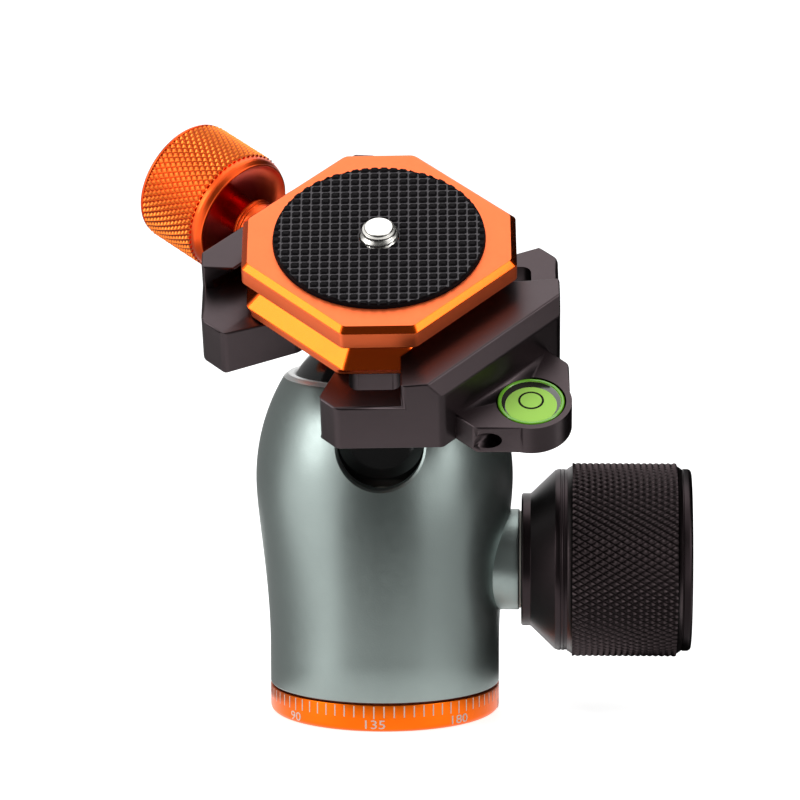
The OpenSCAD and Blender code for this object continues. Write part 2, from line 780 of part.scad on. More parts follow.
// Room in the moving jaw for the hub, with the hub's own cut corners
module hub_hollow() {
    x = -hub_x - hub_room;
    y = hub_half + hub_room;
    polygon([[0, -y], [0, y], [x + hub_cut, y], [x, y - hub_cut], [x, hub_cut - y], [x + hub_cut, -y]]);
}

module moving_outline() {
    tip_y = hub_half + hub_room + 1.5;
    tip_x = moving_in - (clamp_half - tip_y) * notch_slope;
    difference() {
        polygon([[-moving_in, -clamp_half], [clamp_half - corner_sum, -clamp_half],
            [-moving_out, moving_out - corner_sum], [-moving_out, corner_sum - moving_out],
            [clamp_half - corner_sum, clamp_half], [-moving_in, clamp_half],
            [-tip_x, tip_y], [-tip_x, -tip_y]]);
        hub_hollow();
    }
}

module moving_lip() {
    intersection() {
        rotate([90, 0, 0]) translate([0, 0, -clamp_half]) linear_extrude(2 * clamp_half)
            mirror([1, 0]) polygon(concat(jaw_face_points(),
                [[moving_ridge, floor_top + ridge_h - 0.3],
                 [moving_out, floor_top + outer_h], [moving_out, floor_top - root]]));
        mirror([1, 0, 0]) linear_extrude(plate_top) jaw_plan(relief_moving, moving_out + 1);
    }
}

module moving_jaw() {
    color(black) at_head() difference() {
        union() {
            translate([0, 0, clamp_z]) linear_extrude(clamp_t) moving_outline();
            moving_lip();
        }
        translate([-moving_in - ramp_start, -clamp_half - 1, floor_top]) rotate([0, ramp_slope, 0])
            cube([2 * moving_in, 2 * clamp_half + 2, ridge_h]);
        translate([0, 0, screw_z]) rod_x(-moving_out - 1, 0, clamp_screw_r + fit);
        for (y = [-pin_y, pin_y]) translate([0, y, pin_z]) {
            rod_x(-pin_x - clear, 0, pin_r + fit);
            rod_x(-pocket_out, 0, jaw_spring_r + clear);
        }
    }
}

module jaw_springs() {
    color(steel) at_head() for (y = [-pin_y, pin_y]) translate([-pocket_out, y, pin_z])
        rotate([0, 90, 0]) coil(jaw_spring_r, wire_r, pocket_out - pocket_in, 5, 16);
}

// ---- Clamp knob -------------------------------------------------------------------------

// The dish round the hub: a smooth hollow from the rim in to the foot of the collar
function dish_points() = [for (t = [0 : 1 / 8 : 1]) [
    cubic(-clamp_knob_x, -clamp_knob_x - dish_depth, -clamp_knob_x - dish_depth, collar_x, t),
    cubic(clamp_knob_r - rim_drop - dish_wall, clamp_knob_r - 2 * dish_wall - rim_drop,
        2 * clamp_hub_r, clamp_hub_r, t)]];

module clamp_knob() {
    end_x = -clamp_knob_x - clamp_knob_l;
    color(copper) at_head() translate([0, 0, screw_z]) difference() {
        turned_x(concat([[end_x, 0], [end_x, clamp_knob_r - rim_drop],
            [end_x + rim_drop, clamp_knob_r], [-clamp_knob_x - rim_l, clamp_knob_r],
            [-clamp_knob_x, clamp_knob_r - rim_drop]], dish_points(),
            [[-hub_end, clamp_hub_r], [-hub_end, 0]]));
        rod_x(end_x + end_wall, 0, clamp_screw_r);
    }
}

module clamp_screw() {
    color(steel) at_head() translate([0, 0, screw_z])
        rod_x(-clamp_knob_x - clamp_knob_l + end_wall, -screw_tip, clamp_screw_r);
}

module clamp_washer() {
    color(steel) at_head() translate([-hub_end + face_gap, 0, screw_z]) rotate([0, 90, 0])
        ring_z(0, washer_room - 2 * face_gap, clamp_hub_r + 2 * clear, clamp_screw_r + fit);
}

// ---- Plate ------------------------------------------------------------------------------

// Half width of the plate's edge at each height, for a side or a corner
function plate_edge(slab, flange, inset) = [[flange - inset, plate_z],
    [flange - inset, groove_low - inset], [flange, groove_low],
    [flange - groove, groove_low + groove], [slab, groove_top],
    [slab, plate_top - top_chamfer], [slab - top_chamfer, plate_top]];

// A bar along Y with that edge on both of its sides
module plate_bar(slab, flange, inset) {
    edge = plate_edge(slab, flange, inset);
    last = len(edge) - 1;
    rotate([90, 0, 0]) linear_extrude(4 * slab, center = true)
        polygon(concat(edge, [for (i = [last : -1 : 0]) [-edge[i][0], edge[i][1]]]));
}

module plate() {
    color(copper) at_head() difference() {
        intersection() {
            plate_bar(slab_half, dovetail_half, 0);
            rotate(90) plate_bar(slab_half, dovetail_half, 0);
            rotate(45) plate_bar(slab_corner, flange_corner, 0.8);
            rotate(135) plate_bar(slab_corner, flange_corner, 0.8);
        }
        translate([0, 0, plate_top - pad_sunk]) cylinder(h = 9, r = pad_r + fit);
        cylinder(h = plate_top + 1, r = camera_r + fit);
        translate([0, 0, plate_z - 1])
            cylinder(h = clip_top + camera_head_t + clear - plate_z + 1, r = camera_head_r + clear);
    }
}

module plate_pad() {
    color(black) at_head()
        ring_z(plate_top - pad_sunk, plate_top - pad_sunk + pad_h, pad_r, pad_hole_r);
}

module screw_clip() {
    color(steel) at_head()
        ring_z(plate_z + clip_up, clip_top, camera_head_r + clear,
            camera_head_r + clear - clip_w);
}

module camera_screw() {
    head_z = clip_top + face_gap;
    tip_z = plate_top + camera_up - camera_tip;
    color(steel) at_head() difference() {
        union() {
            translate([0, 0, head_z]) cylinder(h = camera_head_t, r = camera_head_r);
            translate([0, 0, head_z]) cylinder(h = plate_top - head_z, r = camera_r - 0.5);
            translate([0, 0, plate_top]) cylinder(h = tip_z - plate_top, r = camera_r);
            translate([0, 0, tip_z])
                cylinder(h = camera_tip, r1 = camera_r, r2 = camera_r - camera_tip);
        }
        translate([-camera_head_r - 1, -slot_w / 2, head_z - 1])
            cube([2 * camera_head_r + 2, slot_w, slot_w + 1]);
    }
}

base_ring();
base_spindle();
base_screws();
thrust_washer();
pan_retainer();
housing();
housing_floor();
knob_washer();
brake_block();
brake_pad();
carrier_springs();
cup_carrier();
ball_cup();
lock_wedge();
bolt_stop();
knob_core();
knob_nut();
knob_grip();
knob_cap();
ball();
clamp_body();
mount_screw();
guide_pins();
level_cup();
level_liquid();
moving_jaw();
jaw_springs();
clamp_knob();
clamp_screw();
clamp_washer();
plate();
plate_pad();
screw_clip();
camera_screw();
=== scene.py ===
# %% [markdown]
# # A tripod ball head
# This file is a lesson in cells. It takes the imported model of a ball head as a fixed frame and
# gives every visible piece its finished shape and surface. Shapes are worked out with numpy as
# grids of points, because a turned or milled part is easiest to say as "this profile, carried
# round that axis". Lengths are written in millimetres, and become metres at the last moment.

# %% Load the frame
import contextlib
import json
import math

import bmesh
import bpy
import numpy as np
from mathutils import Matrix, Vector


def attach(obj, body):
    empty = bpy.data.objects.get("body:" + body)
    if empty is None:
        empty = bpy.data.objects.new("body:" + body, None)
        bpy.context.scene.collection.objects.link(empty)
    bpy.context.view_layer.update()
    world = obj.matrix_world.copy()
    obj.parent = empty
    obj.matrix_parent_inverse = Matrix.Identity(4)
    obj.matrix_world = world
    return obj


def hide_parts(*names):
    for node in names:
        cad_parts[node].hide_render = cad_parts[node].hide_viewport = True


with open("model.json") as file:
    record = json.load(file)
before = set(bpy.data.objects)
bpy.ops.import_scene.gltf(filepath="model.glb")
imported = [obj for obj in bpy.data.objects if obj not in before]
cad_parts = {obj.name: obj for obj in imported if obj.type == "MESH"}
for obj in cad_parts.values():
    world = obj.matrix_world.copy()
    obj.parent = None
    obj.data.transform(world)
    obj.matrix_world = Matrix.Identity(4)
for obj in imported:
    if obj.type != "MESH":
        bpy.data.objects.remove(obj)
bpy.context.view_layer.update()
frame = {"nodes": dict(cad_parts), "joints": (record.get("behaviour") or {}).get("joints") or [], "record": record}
MM = 0.001

# %% [markdown]
# ## Places on the head
# Three pieces of geometry repeat everywhere: the upright axis of the base, the axis of the lock
# knob, and the leaning frame of the clamp. The joints of the frame already know these axes, so
# they are read from there and never typed in again.

# %% The head's own axes
joints = {joint["name"]: joint for joint in frame["joints"]}
neck_axis = Vector(joints["clamp_spin"]["axis"])
across_axis = -Vector(joints["jaw_slide"]["axis"])
slide_axis = Vector(joints["plate_slide"]["axis"])
ball_centre = Vector(joints["clamp_spin"]["pos_m"])

HEAD = Matrix((across_axis, slide_axis, neck_axis)).transposed().to_4x4()
HEAD.translation = ball_centre
UPRIGHT = Matrix.Identity(4)


def shifted(place, x=0.0, y=0.0, z=0.0):
    """A place moved by x, y, z millimetres along its own axes."""
    return place @ Matrix.Translation((x * MM, y * MM, z * MM))


def turned_to_x(place, direction):
    """A place whose Z points along its old X axis (direction 1) or against it (direction -1)."""
    return place @ Matrix.Rotation(math.radians(90 * direction), 4, "Y")


knob_z = joints["lock_turn"]["pos_m"][2] / MM
screw_height = (HEAD.inverted() @ Vector(joints["clamp_knob_turn"]["pos_m"])).z / MM
plate_top = (HEAD.inverted() @ Vector(joints["camera_screw_turn"]["pos_m"])).z / MM
LOCK = turned_to_x(shifted(UPRIGHT, z=knob_z), 1)
CLAMP_KNOB = turned_to_x(shifted(HEAD, z=screw_height), -1)
PLATE = shifted(HEAD, z=plate_top)
print(f"lock axis at {knob_z:.1f} mm, plate top {plate_top:.1f} mm above the ball's centre")

# %% [markdown]
# ## The camera
# The view is a long lens from a little above. A long lens flattens perspective, which is how
# small products are usually pictured. The pixel size of the frame is taken as 800 by 800.

# %% Camera
def in_scene(name, data):
    """A new object for a mesh, a text, a lamp or a camera, linked to the scene."""
    thing = bpy.data.objects.new(name, data)
    bpy.context.scene.collection.objects.link(thing)
    return thing


FRAME_PX = 800
FOCAL_PX = 4481.0
SENSOR_MM = 36.0
camera_spot = Vector((26.725, -735.16, 164.70)) * MM
yaw, pitch, roll = 0.03284, -0.15168, -0.00117

camera_data = bpy.data.cameras.new("camera")
camera_data.sensor_width = SENSOR_MM
camera_data.lens = FOCAL_PX / FRAME_PX * SENSOR_MM
camera_data.clip_start = 0.05
camera = in_scene("camera", camera_data)
camera.matrix_world = (
    Matrix.Translation(camera_spot)
    @ Matrix.Rotation(yaw, 4, "Z")
    @ Matrix.Rotation(math.radians(90) + pitch, 4, "X")
    @ Matrix.Rotation(roll, 4, "Z")
)
bpy.context.scene.camera = camera
bpy.context.scene.view_settings.view_transform = "Standard"
print(f"lens {camera_data.lens:.1f} mm")

# %% [markdown]
# ## Finishes
# Anodised aluminium is metal seen through a thin dyed layer. It has a fine blasted grain that
# breaks the highlights into a soft glow. One recipe serves every metal and plastic here: a noise
# on the object's own coordinates shifts the roughness a little, and a finer noise gives the grain
# as a bump. Object coordinates keep the grain at its true size on pieces of any size.

# %% A recipe for grained surfaces
ROUGHNESS_DRIFT, ROUGHNESS_PATCH = 0.12, 4
GRAIN_HEIGHT_MM, COAT_ROUGHNESS = 0.02, 0.08


def set_inputs(node, **values):
    """Set inputs of a node. Base_Color=... stands for the input called Base Color."""
    for name, value in values.items():
        node.inputs[name.replace("_", " ")].default_value = value


def blank_material(name, **values):
    """A new material with these shader inputs, and its nodes, links and shader."""
    material = bpy.data.materials.new(name)
    material.use_nodes = True
    nodes, links = material.node_tree.nodes, material.node_tree.links
    set_inputs(nodes["Principled BSDF"], **values)
    return material, nodes, links, nodes["Principled BSDF"]


def noise_of(nodes, links, size_mm, detail):
    """Output of a noise whose features are about size_mm wide, on the object's coordinates."""
    noise = nodes.new("ShaderNodeTexNoise")
    set_inputs(noise, Scale=1.0 / (size_mm * MM), Detail=detail)
    links.new(nodes["where"].outputs["Object"], noise.inputs["Vector"])
    return noise.outputs["Fac"]


def uncoloured(name, metallic, roughness, grain_mm, bump, specular=0.5, coat=0.0):
    """Surface without its colour: roughness times (1 +- drift) by a noise, and a bump whose
    height is a noise of grain size grain_mm."""
    material, nodes, links, shader = blank_material(
        name, Metallic=metallic, Specular_IOR_Level=specular, Coat_Weight=coat,
        Coat_Roughness=COAT_ROUGHNESS)
    nodes.new("ShaderNodeTexCoord").name = "where"

    spread = nodes.new("ShaderNodeMapRange")
    set_inputs(spread, To_Min=roughness * (1 - ROUGHNESS_DRIFT), To_Max=roughness * (1 + ROUGHNESS_DRIFT))
    links.new(noise_of(nodes, links, grain_mm * ROUGHNESS_PATCH, 2.0), spread.inputs["Value"])
    links.new(spread.outputs["Result"], shader.inputs["Roughness"])

    height = nodes.new("ShaderNodeBump")
    set_inputs(height, Strength=bump, Distance=GRAIN_HEIGHT_MM * MM)
    links.new(noise_of(nodes, links, grain_mm, 2.0), height.inputs["Height"])
    links.new(height.outputs["Normal"], shader.inputs["Normal"])
    return material, nodes, links, shader


# %% [markdown]
# Most finishes drift a few parts in a hundred round one colour, in patches as wide as a
# fingertip. Knurls and a deep dish get painted shade in their low places, and the rubber waffle
# a painted highlight on the low webs between its studs. The mesh then carries a number at each
# point, and a colour ramp turns it into two tones.

# %% One colour or two
COLOUR_DRIFT, COLOUR_PATCH_MM = 0.06, 9.0
RAMP_START = 0.15


def grained(name, colour, *surface):
    """Finish whose colour is colour times (1 +- drift) by a slow noise."""
    material, nodes, links, shader = uncoloured(name, *surface)
    blend = nodes.new("ShaderNodeMix")
    blend.data_type = "RGBA"
    blend.inputs["A"].default_value = [c * (1 - COLOUR_DRIFT) for c in colour] + [1]
    blend.inputs["B"].default_value = [c * (1 + COLOUR_DRIFT) for c in colour] + [1]
    links.new(noise_of(nodes, links, COLOUR_PATCH_MM, 3.0), blend.inputs["Factor"])
    links.new(blend.outputs["Result"], shader.inputs["Base Color"])
    return material


def two_tone(name, attribute, low, high, stop, *surface):
    """Finish whose colour is low where the mesh attribute is 0, and high from stop on."""
    material, nodes, links, shader = uncoloured(name, *surface)
    reader = nodes.new("ShaderNodeAttribute")
    reader.attribute_name = attribute
    ramp = nodes.new("ShaderNodeValToRGB")
    first, last = ramp.color_ramp.elements
    first.position, first.color = RAMP_START * stop, (*low, 1)
    last.position, last.color = stop, (*high, 1)
    links.new(reader.outputs["Fac"], ramp.inputs["Fac"])
    links.new(ramp.outputs["Color"], shader.inputs["Base Color"])
    return material


# %% [markdown]
# The barrel is blasted before it is dyed, so it is the roughest metal. The plate's top is satin,
# and its chamfers are cut afterwards by a sharp tool, which leaves them smoother and brighter.
# The ball carries a hard gloss coat, and the small parts are plain steel, nylon and rubber.

# %% The finishes
ONE_COLOUR = {
    # colour, metallic, roughness, grain in mm, bump, and then specular and coat if not 0.5 and 0
    "slate_anodised": ((0.29, 0.34, 0.325), 0.95, 0.37, 0.3, 0.7),
    "copper_anodised": ((0.94, 0.168, 0.048), 0.85, 0.42, 0.18, 0.25),
    "copper_cut": ((0.94, 0.115, 0.004), 1.0, 0.24, 0.3, 0.06, 0.5, 0.2),
    "copper_satin": ((0.92, 0.10, 0.014), 1.0, 0.34, 0.2, 0.1, 0.5, 0.1),
    "copper_ring": ((0.93, 0.155, 0.006), 1.0, 0.32, 0.2, 0.15),
    "black_anodised": ((0.066, 0.051, 0.054), 1.0, 0.36, 0.2, 0.2),
    "black_gloss": ((0.007, 0.007, 0.007), 0.0, 0.13, 0.5, 0.03, 0.6),
    "black_knob": ((0.036, 0.027, 0.029), 1.0, 0.34, 0.2, 0.2),
    "rubber": ((0.010, 0.009, 0.010), 0.0, 0.6, 0.12, 0.4, 0.2),
    "steel": ((0.84, 0.82, 0.77), 1.0, 0.24, 0.2, 0.1),
    "nylon": ((0.78, 0.75, 0.66), 0.0, 0.5, 0.4, 0.15),
    "brake_lining": ((0.30, 0.22, 0.14), 0.0, 0.8, 0.3, 0.6),
    "vial_acrylic": ((0.19, 0.60, 0.02), 0.0, 0.14, 0.6, 0.02, 0.5, 0.3),
    "vial_liquid": ((0.54, 0.97, 0.17), 0.0, 0.5, 0.6, 0.02, 0.1),
    # The next finish is painted shade: the dark crescent in the level's window.
    "vial_painted_shade": ((0.010, 0.016, 0.004), 0.0, 0.10, 0.6, 0.02, 0.9),
    # The next finish paints the housing's rim a pale grey, a painted highlight.
    "rim_painted_highlight": ((0.82, 0.84, 0.83), 0.7, 0.32, 0.3, 0.1),
    "print_black": ((0.004, 0.006, 0.002), 0.0, 0.5, 0.1, 0.02, 0.1),
    "dial_mark": ((0.98, 0.84, 0.74), 0.0, 0.5, 0.1, 0.2),
}
TWO_TONE = {
    # attribute, low colour, high colour, stop, and then as above from metallic on
    # The dish finish paints shade that deepens towards the stem.
    "copper_dish_painted_shade": ("depth", (0.90, 0.11, 0.035), (0.50, 0.008, 0.001), 0.8, 1.0, 0.36, 0.2, 0.1),
    # The two knurl finishes paint shade into the grooves, darkest at the groove floor.
    "copper_knurl_painted_shade": ("tip", (0.30, 0.010, 0.001), (0.95, 0.22, 0.035), 0.5, 1.0, 0.30, 0.2, 0.1),
    "black_knurl_painted_shade": ("tip", (0.003, 0.002, 0.002), (0.055, 0.042, 0.044), 0.45, 1.0, 0.34, 0.2, 0.2),
    # The waffle finish paints the webs between the studs paler, a painted highlight.
    "waffle_rubber_painted_highlight": ("tip", (0.15, 0.14, 0.15), (0.004, 0.003, 0.004), 0.12, 0.0, 0.7, 0.12, 0.2, 0.1),
}
finishes = {name: grained(name, *values) for name, values in ONE_COLOUR.items()}
finishes.update({name: two_tone(name, *values) for name, values in TWO_TONE.items()})
print(len(finishes), "finishes")

# %% [markdown]
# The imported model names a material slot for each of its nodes. Finishes that the model doesn't
# know, such as that of a cut edge, belong to the slot of the piece that they are on.

# %% Slots, and the nodes that stay as they are
for part in frame["record"]["subparts"]:
    node = frame["nodes"][part["node"]]
    node.data.materials.clear()
    node.data.materials.append(finishes[part["material_slot"]])

# %% [markdown]
# ## From points to pieces
# A grid of points becomes quads by joining each point to its right and upper neighbours. The
# doubles at seams and poles are merged, so the mesh is closed, and edges that turn more than
# about 35 degrees are marked sharp, so that bevels catch the light and flats stay flat.

# %% Grids into meshes
DOUBLES_MM, SLIVER_MM = 0.002, 0.0005


def quads(rows, columns):
    """Corner numbers of the quads of a rows by columns grid stored row by row."""
    corner = np.arange(rows - 1)[:, None] * columns + np.arange(columns - 1)[None, :]
    return np.stack([corner, corner + 1, corner + columns + 1, corner + columns], -1).reshape(-1, 4)


@contextlib.contextmanager
def editing(mesh):
    """The mesh as a bmesh for the length of a with block, written back when the block ends."""
    work = bmesh.new()
    work.from_mesh(mesh)
    yield work
    work.to_mesh(mesh)
    work.free()


def merged_mesh(name, grid):
    """Mesh from a grid in millimetres, with doubles merged and faces outwards."""
    mesh = bpy.data.meshes.new(name)
    mesh.from_pydata(grid.reshape(-1, 3) * MM, [], quads(*grid.shape[:2]).tolist())
    with editing(mesh) as work:
        bmesh.ops.remove_doubles(work, verts=work.verts, dist=DOUBLES_MM * MM)
        bmesh.ops.dissolve_degenerate(work, edges=work.edges, dist=SLIVER_MM * MM)
        bmesh.ops.recalc_face_normals(work, faces=work.faces)
    return mesh


# %% [markdown]
# Blender hands out vertices and faces one at a time, or all at once in a flat array. The second
# way suits numpy, so a few helpers read a whole mesh in one call, and write back one number for
# each point or one material for each face.

# %% Whole meshes as arrays
def read_all(items, field, width=1, kind=float):
    """One field of all vertices, faces or corners, as an array of width columns."""
    values = np.empty(len(items) * width, kind)
    items.foreach_get(field, values)
    return values.reshape(-1, width) if width > 1 else values


def points_mm(mesh):
    """Vertices in millimetres, one row each."""
    return read_all(mesh.vertices, "co", 3) / MM


def face_centres(mesh):
    """Face centres in millimetres, one row each."""
    return read_all(mesh.polygons, "center", 3) / MM


def face_normals(mesh):
    """Face normals, one row each."""
    return read_all(mesh.polygons, "normal", 3)


def from_axis(points):
    """Distance of points from the Z axis: sqrt(x^2 + y^2)."""
    return np.hypot(points[:, 0], points[:, 1])


def write_shares(mesh, name, shares):
    """Attribute for a two-tone finish: one number from 0 to 1 for each vertex."""
    attribute = mesh.attributes.new(name, "FLOAT", "POINT")
    attribute.data.foreach_set("value", shares.astype(np.float32))


def paint_faces(mesh, finish, chosen):
    """Give the chosen faces one more finish; chosen is one truth value for each face."""
    mesh.materials.append(finishes[finish])
    slots = read_all(mesh.polygons, "material_index", kind=np.int32)
    slots[chosen] = len(mesh.materials) - 1
    mesh.polygons.foreach_set("material_index", slots)


# %% [markdown]
# Every finished piece is placed by moving its points, so that the object itself stays at the
# origin. It then rides on one body of the model, and takes over from the nodes that it replaces.

# %% Adding a piece
def add_piece(name, mesh, place, body, finish, replaces=(), sharp=35):
    """Put a mesh where its place says, dress it, and let it ride on its body."""
    mesh.transform(place)
    mesh.shade_smooth()
    mesh.set_sharp_from_angle(angle=math.radians(sharp))
    if not mesh.materials:
        mesh.materials.append(finishes[finish])
    piece = in_scene(name, mesh)
    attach(piece, body)
    if replaces:
        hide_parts(*replaces)
    print(f"{name}: {len(mesh.polygons)} faces")
    return piece


# %% [markdown]
# Real corners are never knife sharp. A small arc in each corner of a profile gives the thin
# bright line that machined parts show. The arc is a parabola that starts and ends a short way
# along the two neighbouring edges, which is close to a circle and needs no special cases.

# %% Rounded profiles and turned grids
ARC_POINTS = 4


def rounded(points, radius, closed=False):
    """A polyline with an arc in each corner: (1-t)^2 A + 2t(1-t) corner + t^2 B."""
    line = np.array(points, float)
    if closed:
        before, here, after = np.roll(line, 1, 0), line, np.roll(line, -1, 0)
    else:
        before, here, after = line[:-2], line[1:-1], line[2:]
    back, ahead = before - here, after - here
    back_length = np.linalg.norm(back, axis=1)
    ahead_length = np.linalg.norm(ahead, axis=1)
    back, ahead = back / back_length[:, None], ahead / ahead_length[:, None]
    corner = np.arccos(np.clip((back * ahead).sum(1), -1, 1))
    cut = radius / np.tan(corner / 2)
    cut = np.minimum(cut, 0.45 * np.minimum(back_length, ahead_length))[:, None, None]
    t = np.linspace(0, 1, ARC_POINTS)[None, :, None]
    start = here[:, None] + back[:, None] * cut
    end = here[:, None] + ahead[:, None] * cut
    arcs = (1 - t) ** 2 * start + 2 * t * (1 - t) * here[:, None] + t**2 * end
    arcs = arcs.reshape(-1, line.shape[1])
    return arcs if closed else np.vstack([line[:1], arcs, line[-1:]])


def polar(radius, angle, height):
    """Points (r cos a, r sin a, height)."""
    return np.stack(np.broadcast_arrays(radius * np.cos(angle), radius * np.sin(angle), height), -1)


def turned(profile, columns):
    """Grid of a profile of (height, radius) carried once round the Z axis."""
    height, radius = np.hsplit(np.asarray(profile, float), 2)
    return polar(radius, np.linspace(0, 2 * np.pi, columns + 1), height)


def lathed(name, profile, columns, closed=False):
    """Mesh of a profile turned once round; closed joins the profile's end to its start."""
    if closed:
        profile = np.vstack([profile, profile[:1]])
    return merged_mesh(name, turned(profile, columns))


# %% [markdown]
# ## The housing
# The body is a turned barrel: a straight foot, a waist that swells in a long S curve, and a
# shoulder that closes in an arc over the ball. The S curve is a cubic with upright handles at
# both ends. A notch with a round floor is milled from the front, so that the neck can drop to
# level. The notch is cut with a Boolean, since its edge runs across the turned surface, and the
# cutter widens towards the outside to leave a fine chamfer all along the edge.

# %% Housing profile
BALL_Z = ball_centre.z / MM
FOOT_R, FOOT_INNER_R, FOOT_BOTTOM, FOOT_TOP = 19.1, 18.0, 4.93, 11.0
BULGE_R, BULGE_Z = 21.36, 39.5
EDGE_R, EDGE_Z = 16.68, 56.4
RIM_R, RIM_Z, MOUTH_R, MOUTH_CUT = 15.96, 57.0, 15.06, 0.3
SEAT_R, SEAT_RISE, CHAMBER_R = 17.55, 9.2, 17.7


def cubic(a, b, c, d, t):
    """(1-t)^3 a + 3(1-t)^2 t b + 3(1-t)t^2 c + t^3 d."""
    return (1 - t) ** 3 * a + 3 * (1 - t) ** 2 * t * b + 3 * (1 - t) * t**2 * c + t**3 * d


def housing_outline():
    """(height, radius) of the outside: foot, cubic waist, then an arc up to the edge."""
    t = np.linspace(0, 1, 40)
    rise = BULGE_Z - FOOT_TOP
    radius = cubic(FOOT_R, FOOT_R, BULGE_R, BULGE_R, t)
    height = cubic(FOOT_TOP, FOOT_TOP + 0.4 * rise, BULGE_Z - 0.22 * rise, BULGE_Z, t)
    drop, climb = BULGE_R - EDGE_R, EDGE_Z - BULGE_Z
    arc = (drop**2 + climb**2) / (2 * drop)
    z = np.linspace(0, climb, 40)[1:]
    shoulder = np.stack([BULGE_Z + z, BULGE_R - arc + np.sqrt(arc**2 - z**2)], -1)
    return np.vstack([np.stack([height, radius], -1), shoulder])


outside = housing_outline()
foot = rounded([(FOOT_BOTTOM, FOOT_INNER_R), (FOOT_BOTTOM, FOOT_R), (FOOT_TOP, FOOT_R)], 0.25)
rim = rounded([(EDGE_Z, EDGE_R), (RIM_Z, RIM_R), (RIM_Z, MOUTH_R),
               (RIM_Z - MOUTH_CUT, MOUTH_R - MOUTH_CUT)], 0.12)
seat_angle = np.linspace(math.asin(SEAT_RISE / SEAT_R), 0, 24)
seat = np.stack([BALL_Z + SEAT_R * np.sin(seat_angle), SEAT_R * np.cos(seat_angle)], -1)
bore = np.array([(BALL_Z, CHAMBER_R), (FOOT_BOTTOM, CHAMBER_R), (FOOT_BOTTOM, FOOT_INNER_R)])
shell = lathed("housing_shell", np.vstack([foot[:-1], outside, rim[1:], seat, bore]), 256)
print(f"housing {outside[:, 1].max() * 2:.2f} mm at its widest")

# %% [markdown]
# The cutter is a U, carried from outside the barrel to its middle. It starts wider by the
# chamfer, and narrows to the true notch just under the surface. The depth of the surface at each
# point of the U comes from the outline, because the barrel curves both ways.

# %% The notch's cutter
NOTCH_HALF, NOTCH_Z, NOTCH_TOP = 7.1, 47.7, 62.0
CHAMFER, CUTTER_START = 0.4, -30.0
LEG_POINTS, FLOOR_POINTS = 12, 49


def surface_radius(z):
    """Outer radius of the housing at a height."""
    return np.interp(z, outside[:, 0], outside[:, 1])


def notch_ring(spread, depth_below):
    """The U profile grown by spread, laid depth_below under the outer surface."""
    half = NOTCH_HALF + spread
    turn = np.linspace(0, -np.pi, FLOOR_POINTS)
    x = np.concatenate([[half] * LEG_POINTS, half * np.cos(turn), [-half] * LEG_POINTS])
    leg = np.linspace(NOTCH_TOP, NOTCH_Z + 0.3, LEG_POINTS)
    z = np.concatenate([leg, NOTCH_Z + half * np.sin(turn), leg[::-1]])
    y = -np.sqrt(surface_radius(z) ** 2 - x**2) + depth_below
    return np.stack([x, y, z], -1)


def at_depth(ring, y):
    """The same ring pushed to one flat depth."""
    flat = ring.copy()
    flat[:, 1] = y
    return flat


wide, true_size = notch_ring(CHAMFER, -0.05), notch_ring(0.0, CHAMFER)
rings = np.stack([at_depth(wide, CUTTER_START), wide, true_size, at_depth(true_size, 0.0)])
rings = np.concatenate([rings, rings[:, :1]], axis=1)
cutter_mesh = bpy.data.meshes.new("notch_cutter")
count = rings.shape[1]
caps = [list(range(count - 1)), list(range(3 * count, 4 * count - 1))]
cutter_mesh.from_pydata(rings.reshape(-1, 3) * MM, [], quads(4, count).tolist() + caps)
with editing(cutter_mesh) as work:
    bmesh.ops.remove_doubles(work, verts=work.verts, dist=DOUBLES_MM / 2 * MM)
    bmesh.ops.recalc_face_normals(work, faces=work.faces)
print("notch cutter:", len(cutter_mesh.polygons), "faces")

# %% [markdown]
# A Boolean modifier takes one closed volume from another. It works on objects, so the helper
# makes two for a moment, reads the result as a new mesh, and removes them again.

# %% Cut the notch
def combined(mesh, tool, operation):
    """A new mesh: the two volumes' DIFFERENCE, INTERSECT or UNION."""
    target, blade = in_scene("target", mesh), in_scene("blade", tool)
    step = target.modifiers.new("cut", "BOOLEAN")
    step.operation, step.object, step.solver = operation, blade, "EXACT"
    bpy.context.view_layer.update()
    graph = bpy.context.evaluated_depsgraph_get()
    result = bpy.data.meshes.new_from_object(target.evaluated_get(graph))
    for thing in (target, blade):
        bpy.data.objects.remove(thing)
    return result


housing_mesh = combined(shell, cutter_mesh, "DIFFERENCE")
print("notched housing:", len(housing_mesh.polygons), "faces")

# %% [markdown]
# A Boolean leaves long many-sided faces beside the cut, and smooth shading across them shows
# faint streaks. The true normal of a turned surface is known everywhere from the slope of its
# outline, so it is written to the corners of the outside faces. The shading is then exact.

# %% True normals for the outside of the barrel
SKIN_MM, FACING = 0.02, 0.98


def barrel_normals(mesh):
    """Corner normals (cos a, sin a, -dr/dz) made unit on the outside; zero means left alone."""
    x, y, z = points_mm(mesh)[read_all(mesh.loops, "vertex_index", kind=np.int64)].T
    counts = read_all(mesh.polygons, "loop_total", kind=np.int64)
    face_normal = np.repeat(face_normals(mesh), counts, axis=0)
    slope = np.gradient(outside[:, 1], outside[:, 0] + np.arange(len(outside)) * 1e-9)
    steep = np.interp(z, outside[:, 0], slope)
    distance = np.hypot(x, y)
    true = np.stack([x / distance, y / distance, -steep], -1)
    true /= np.linalg.norm(true, axis=1)[:, None]
    outer = np.abs(distance - surface_radius(z)) < SKIN_MM
    outer &= (true * face_normal).sum(1) > FACING
    outer &= (z > FOOT_BOTTOM + 0.3) & (z < EDGE_Z - 0.2)
    true[~outer] = 0
    return true


housing_mesh.materials.append(finishes["slate_anodised"])
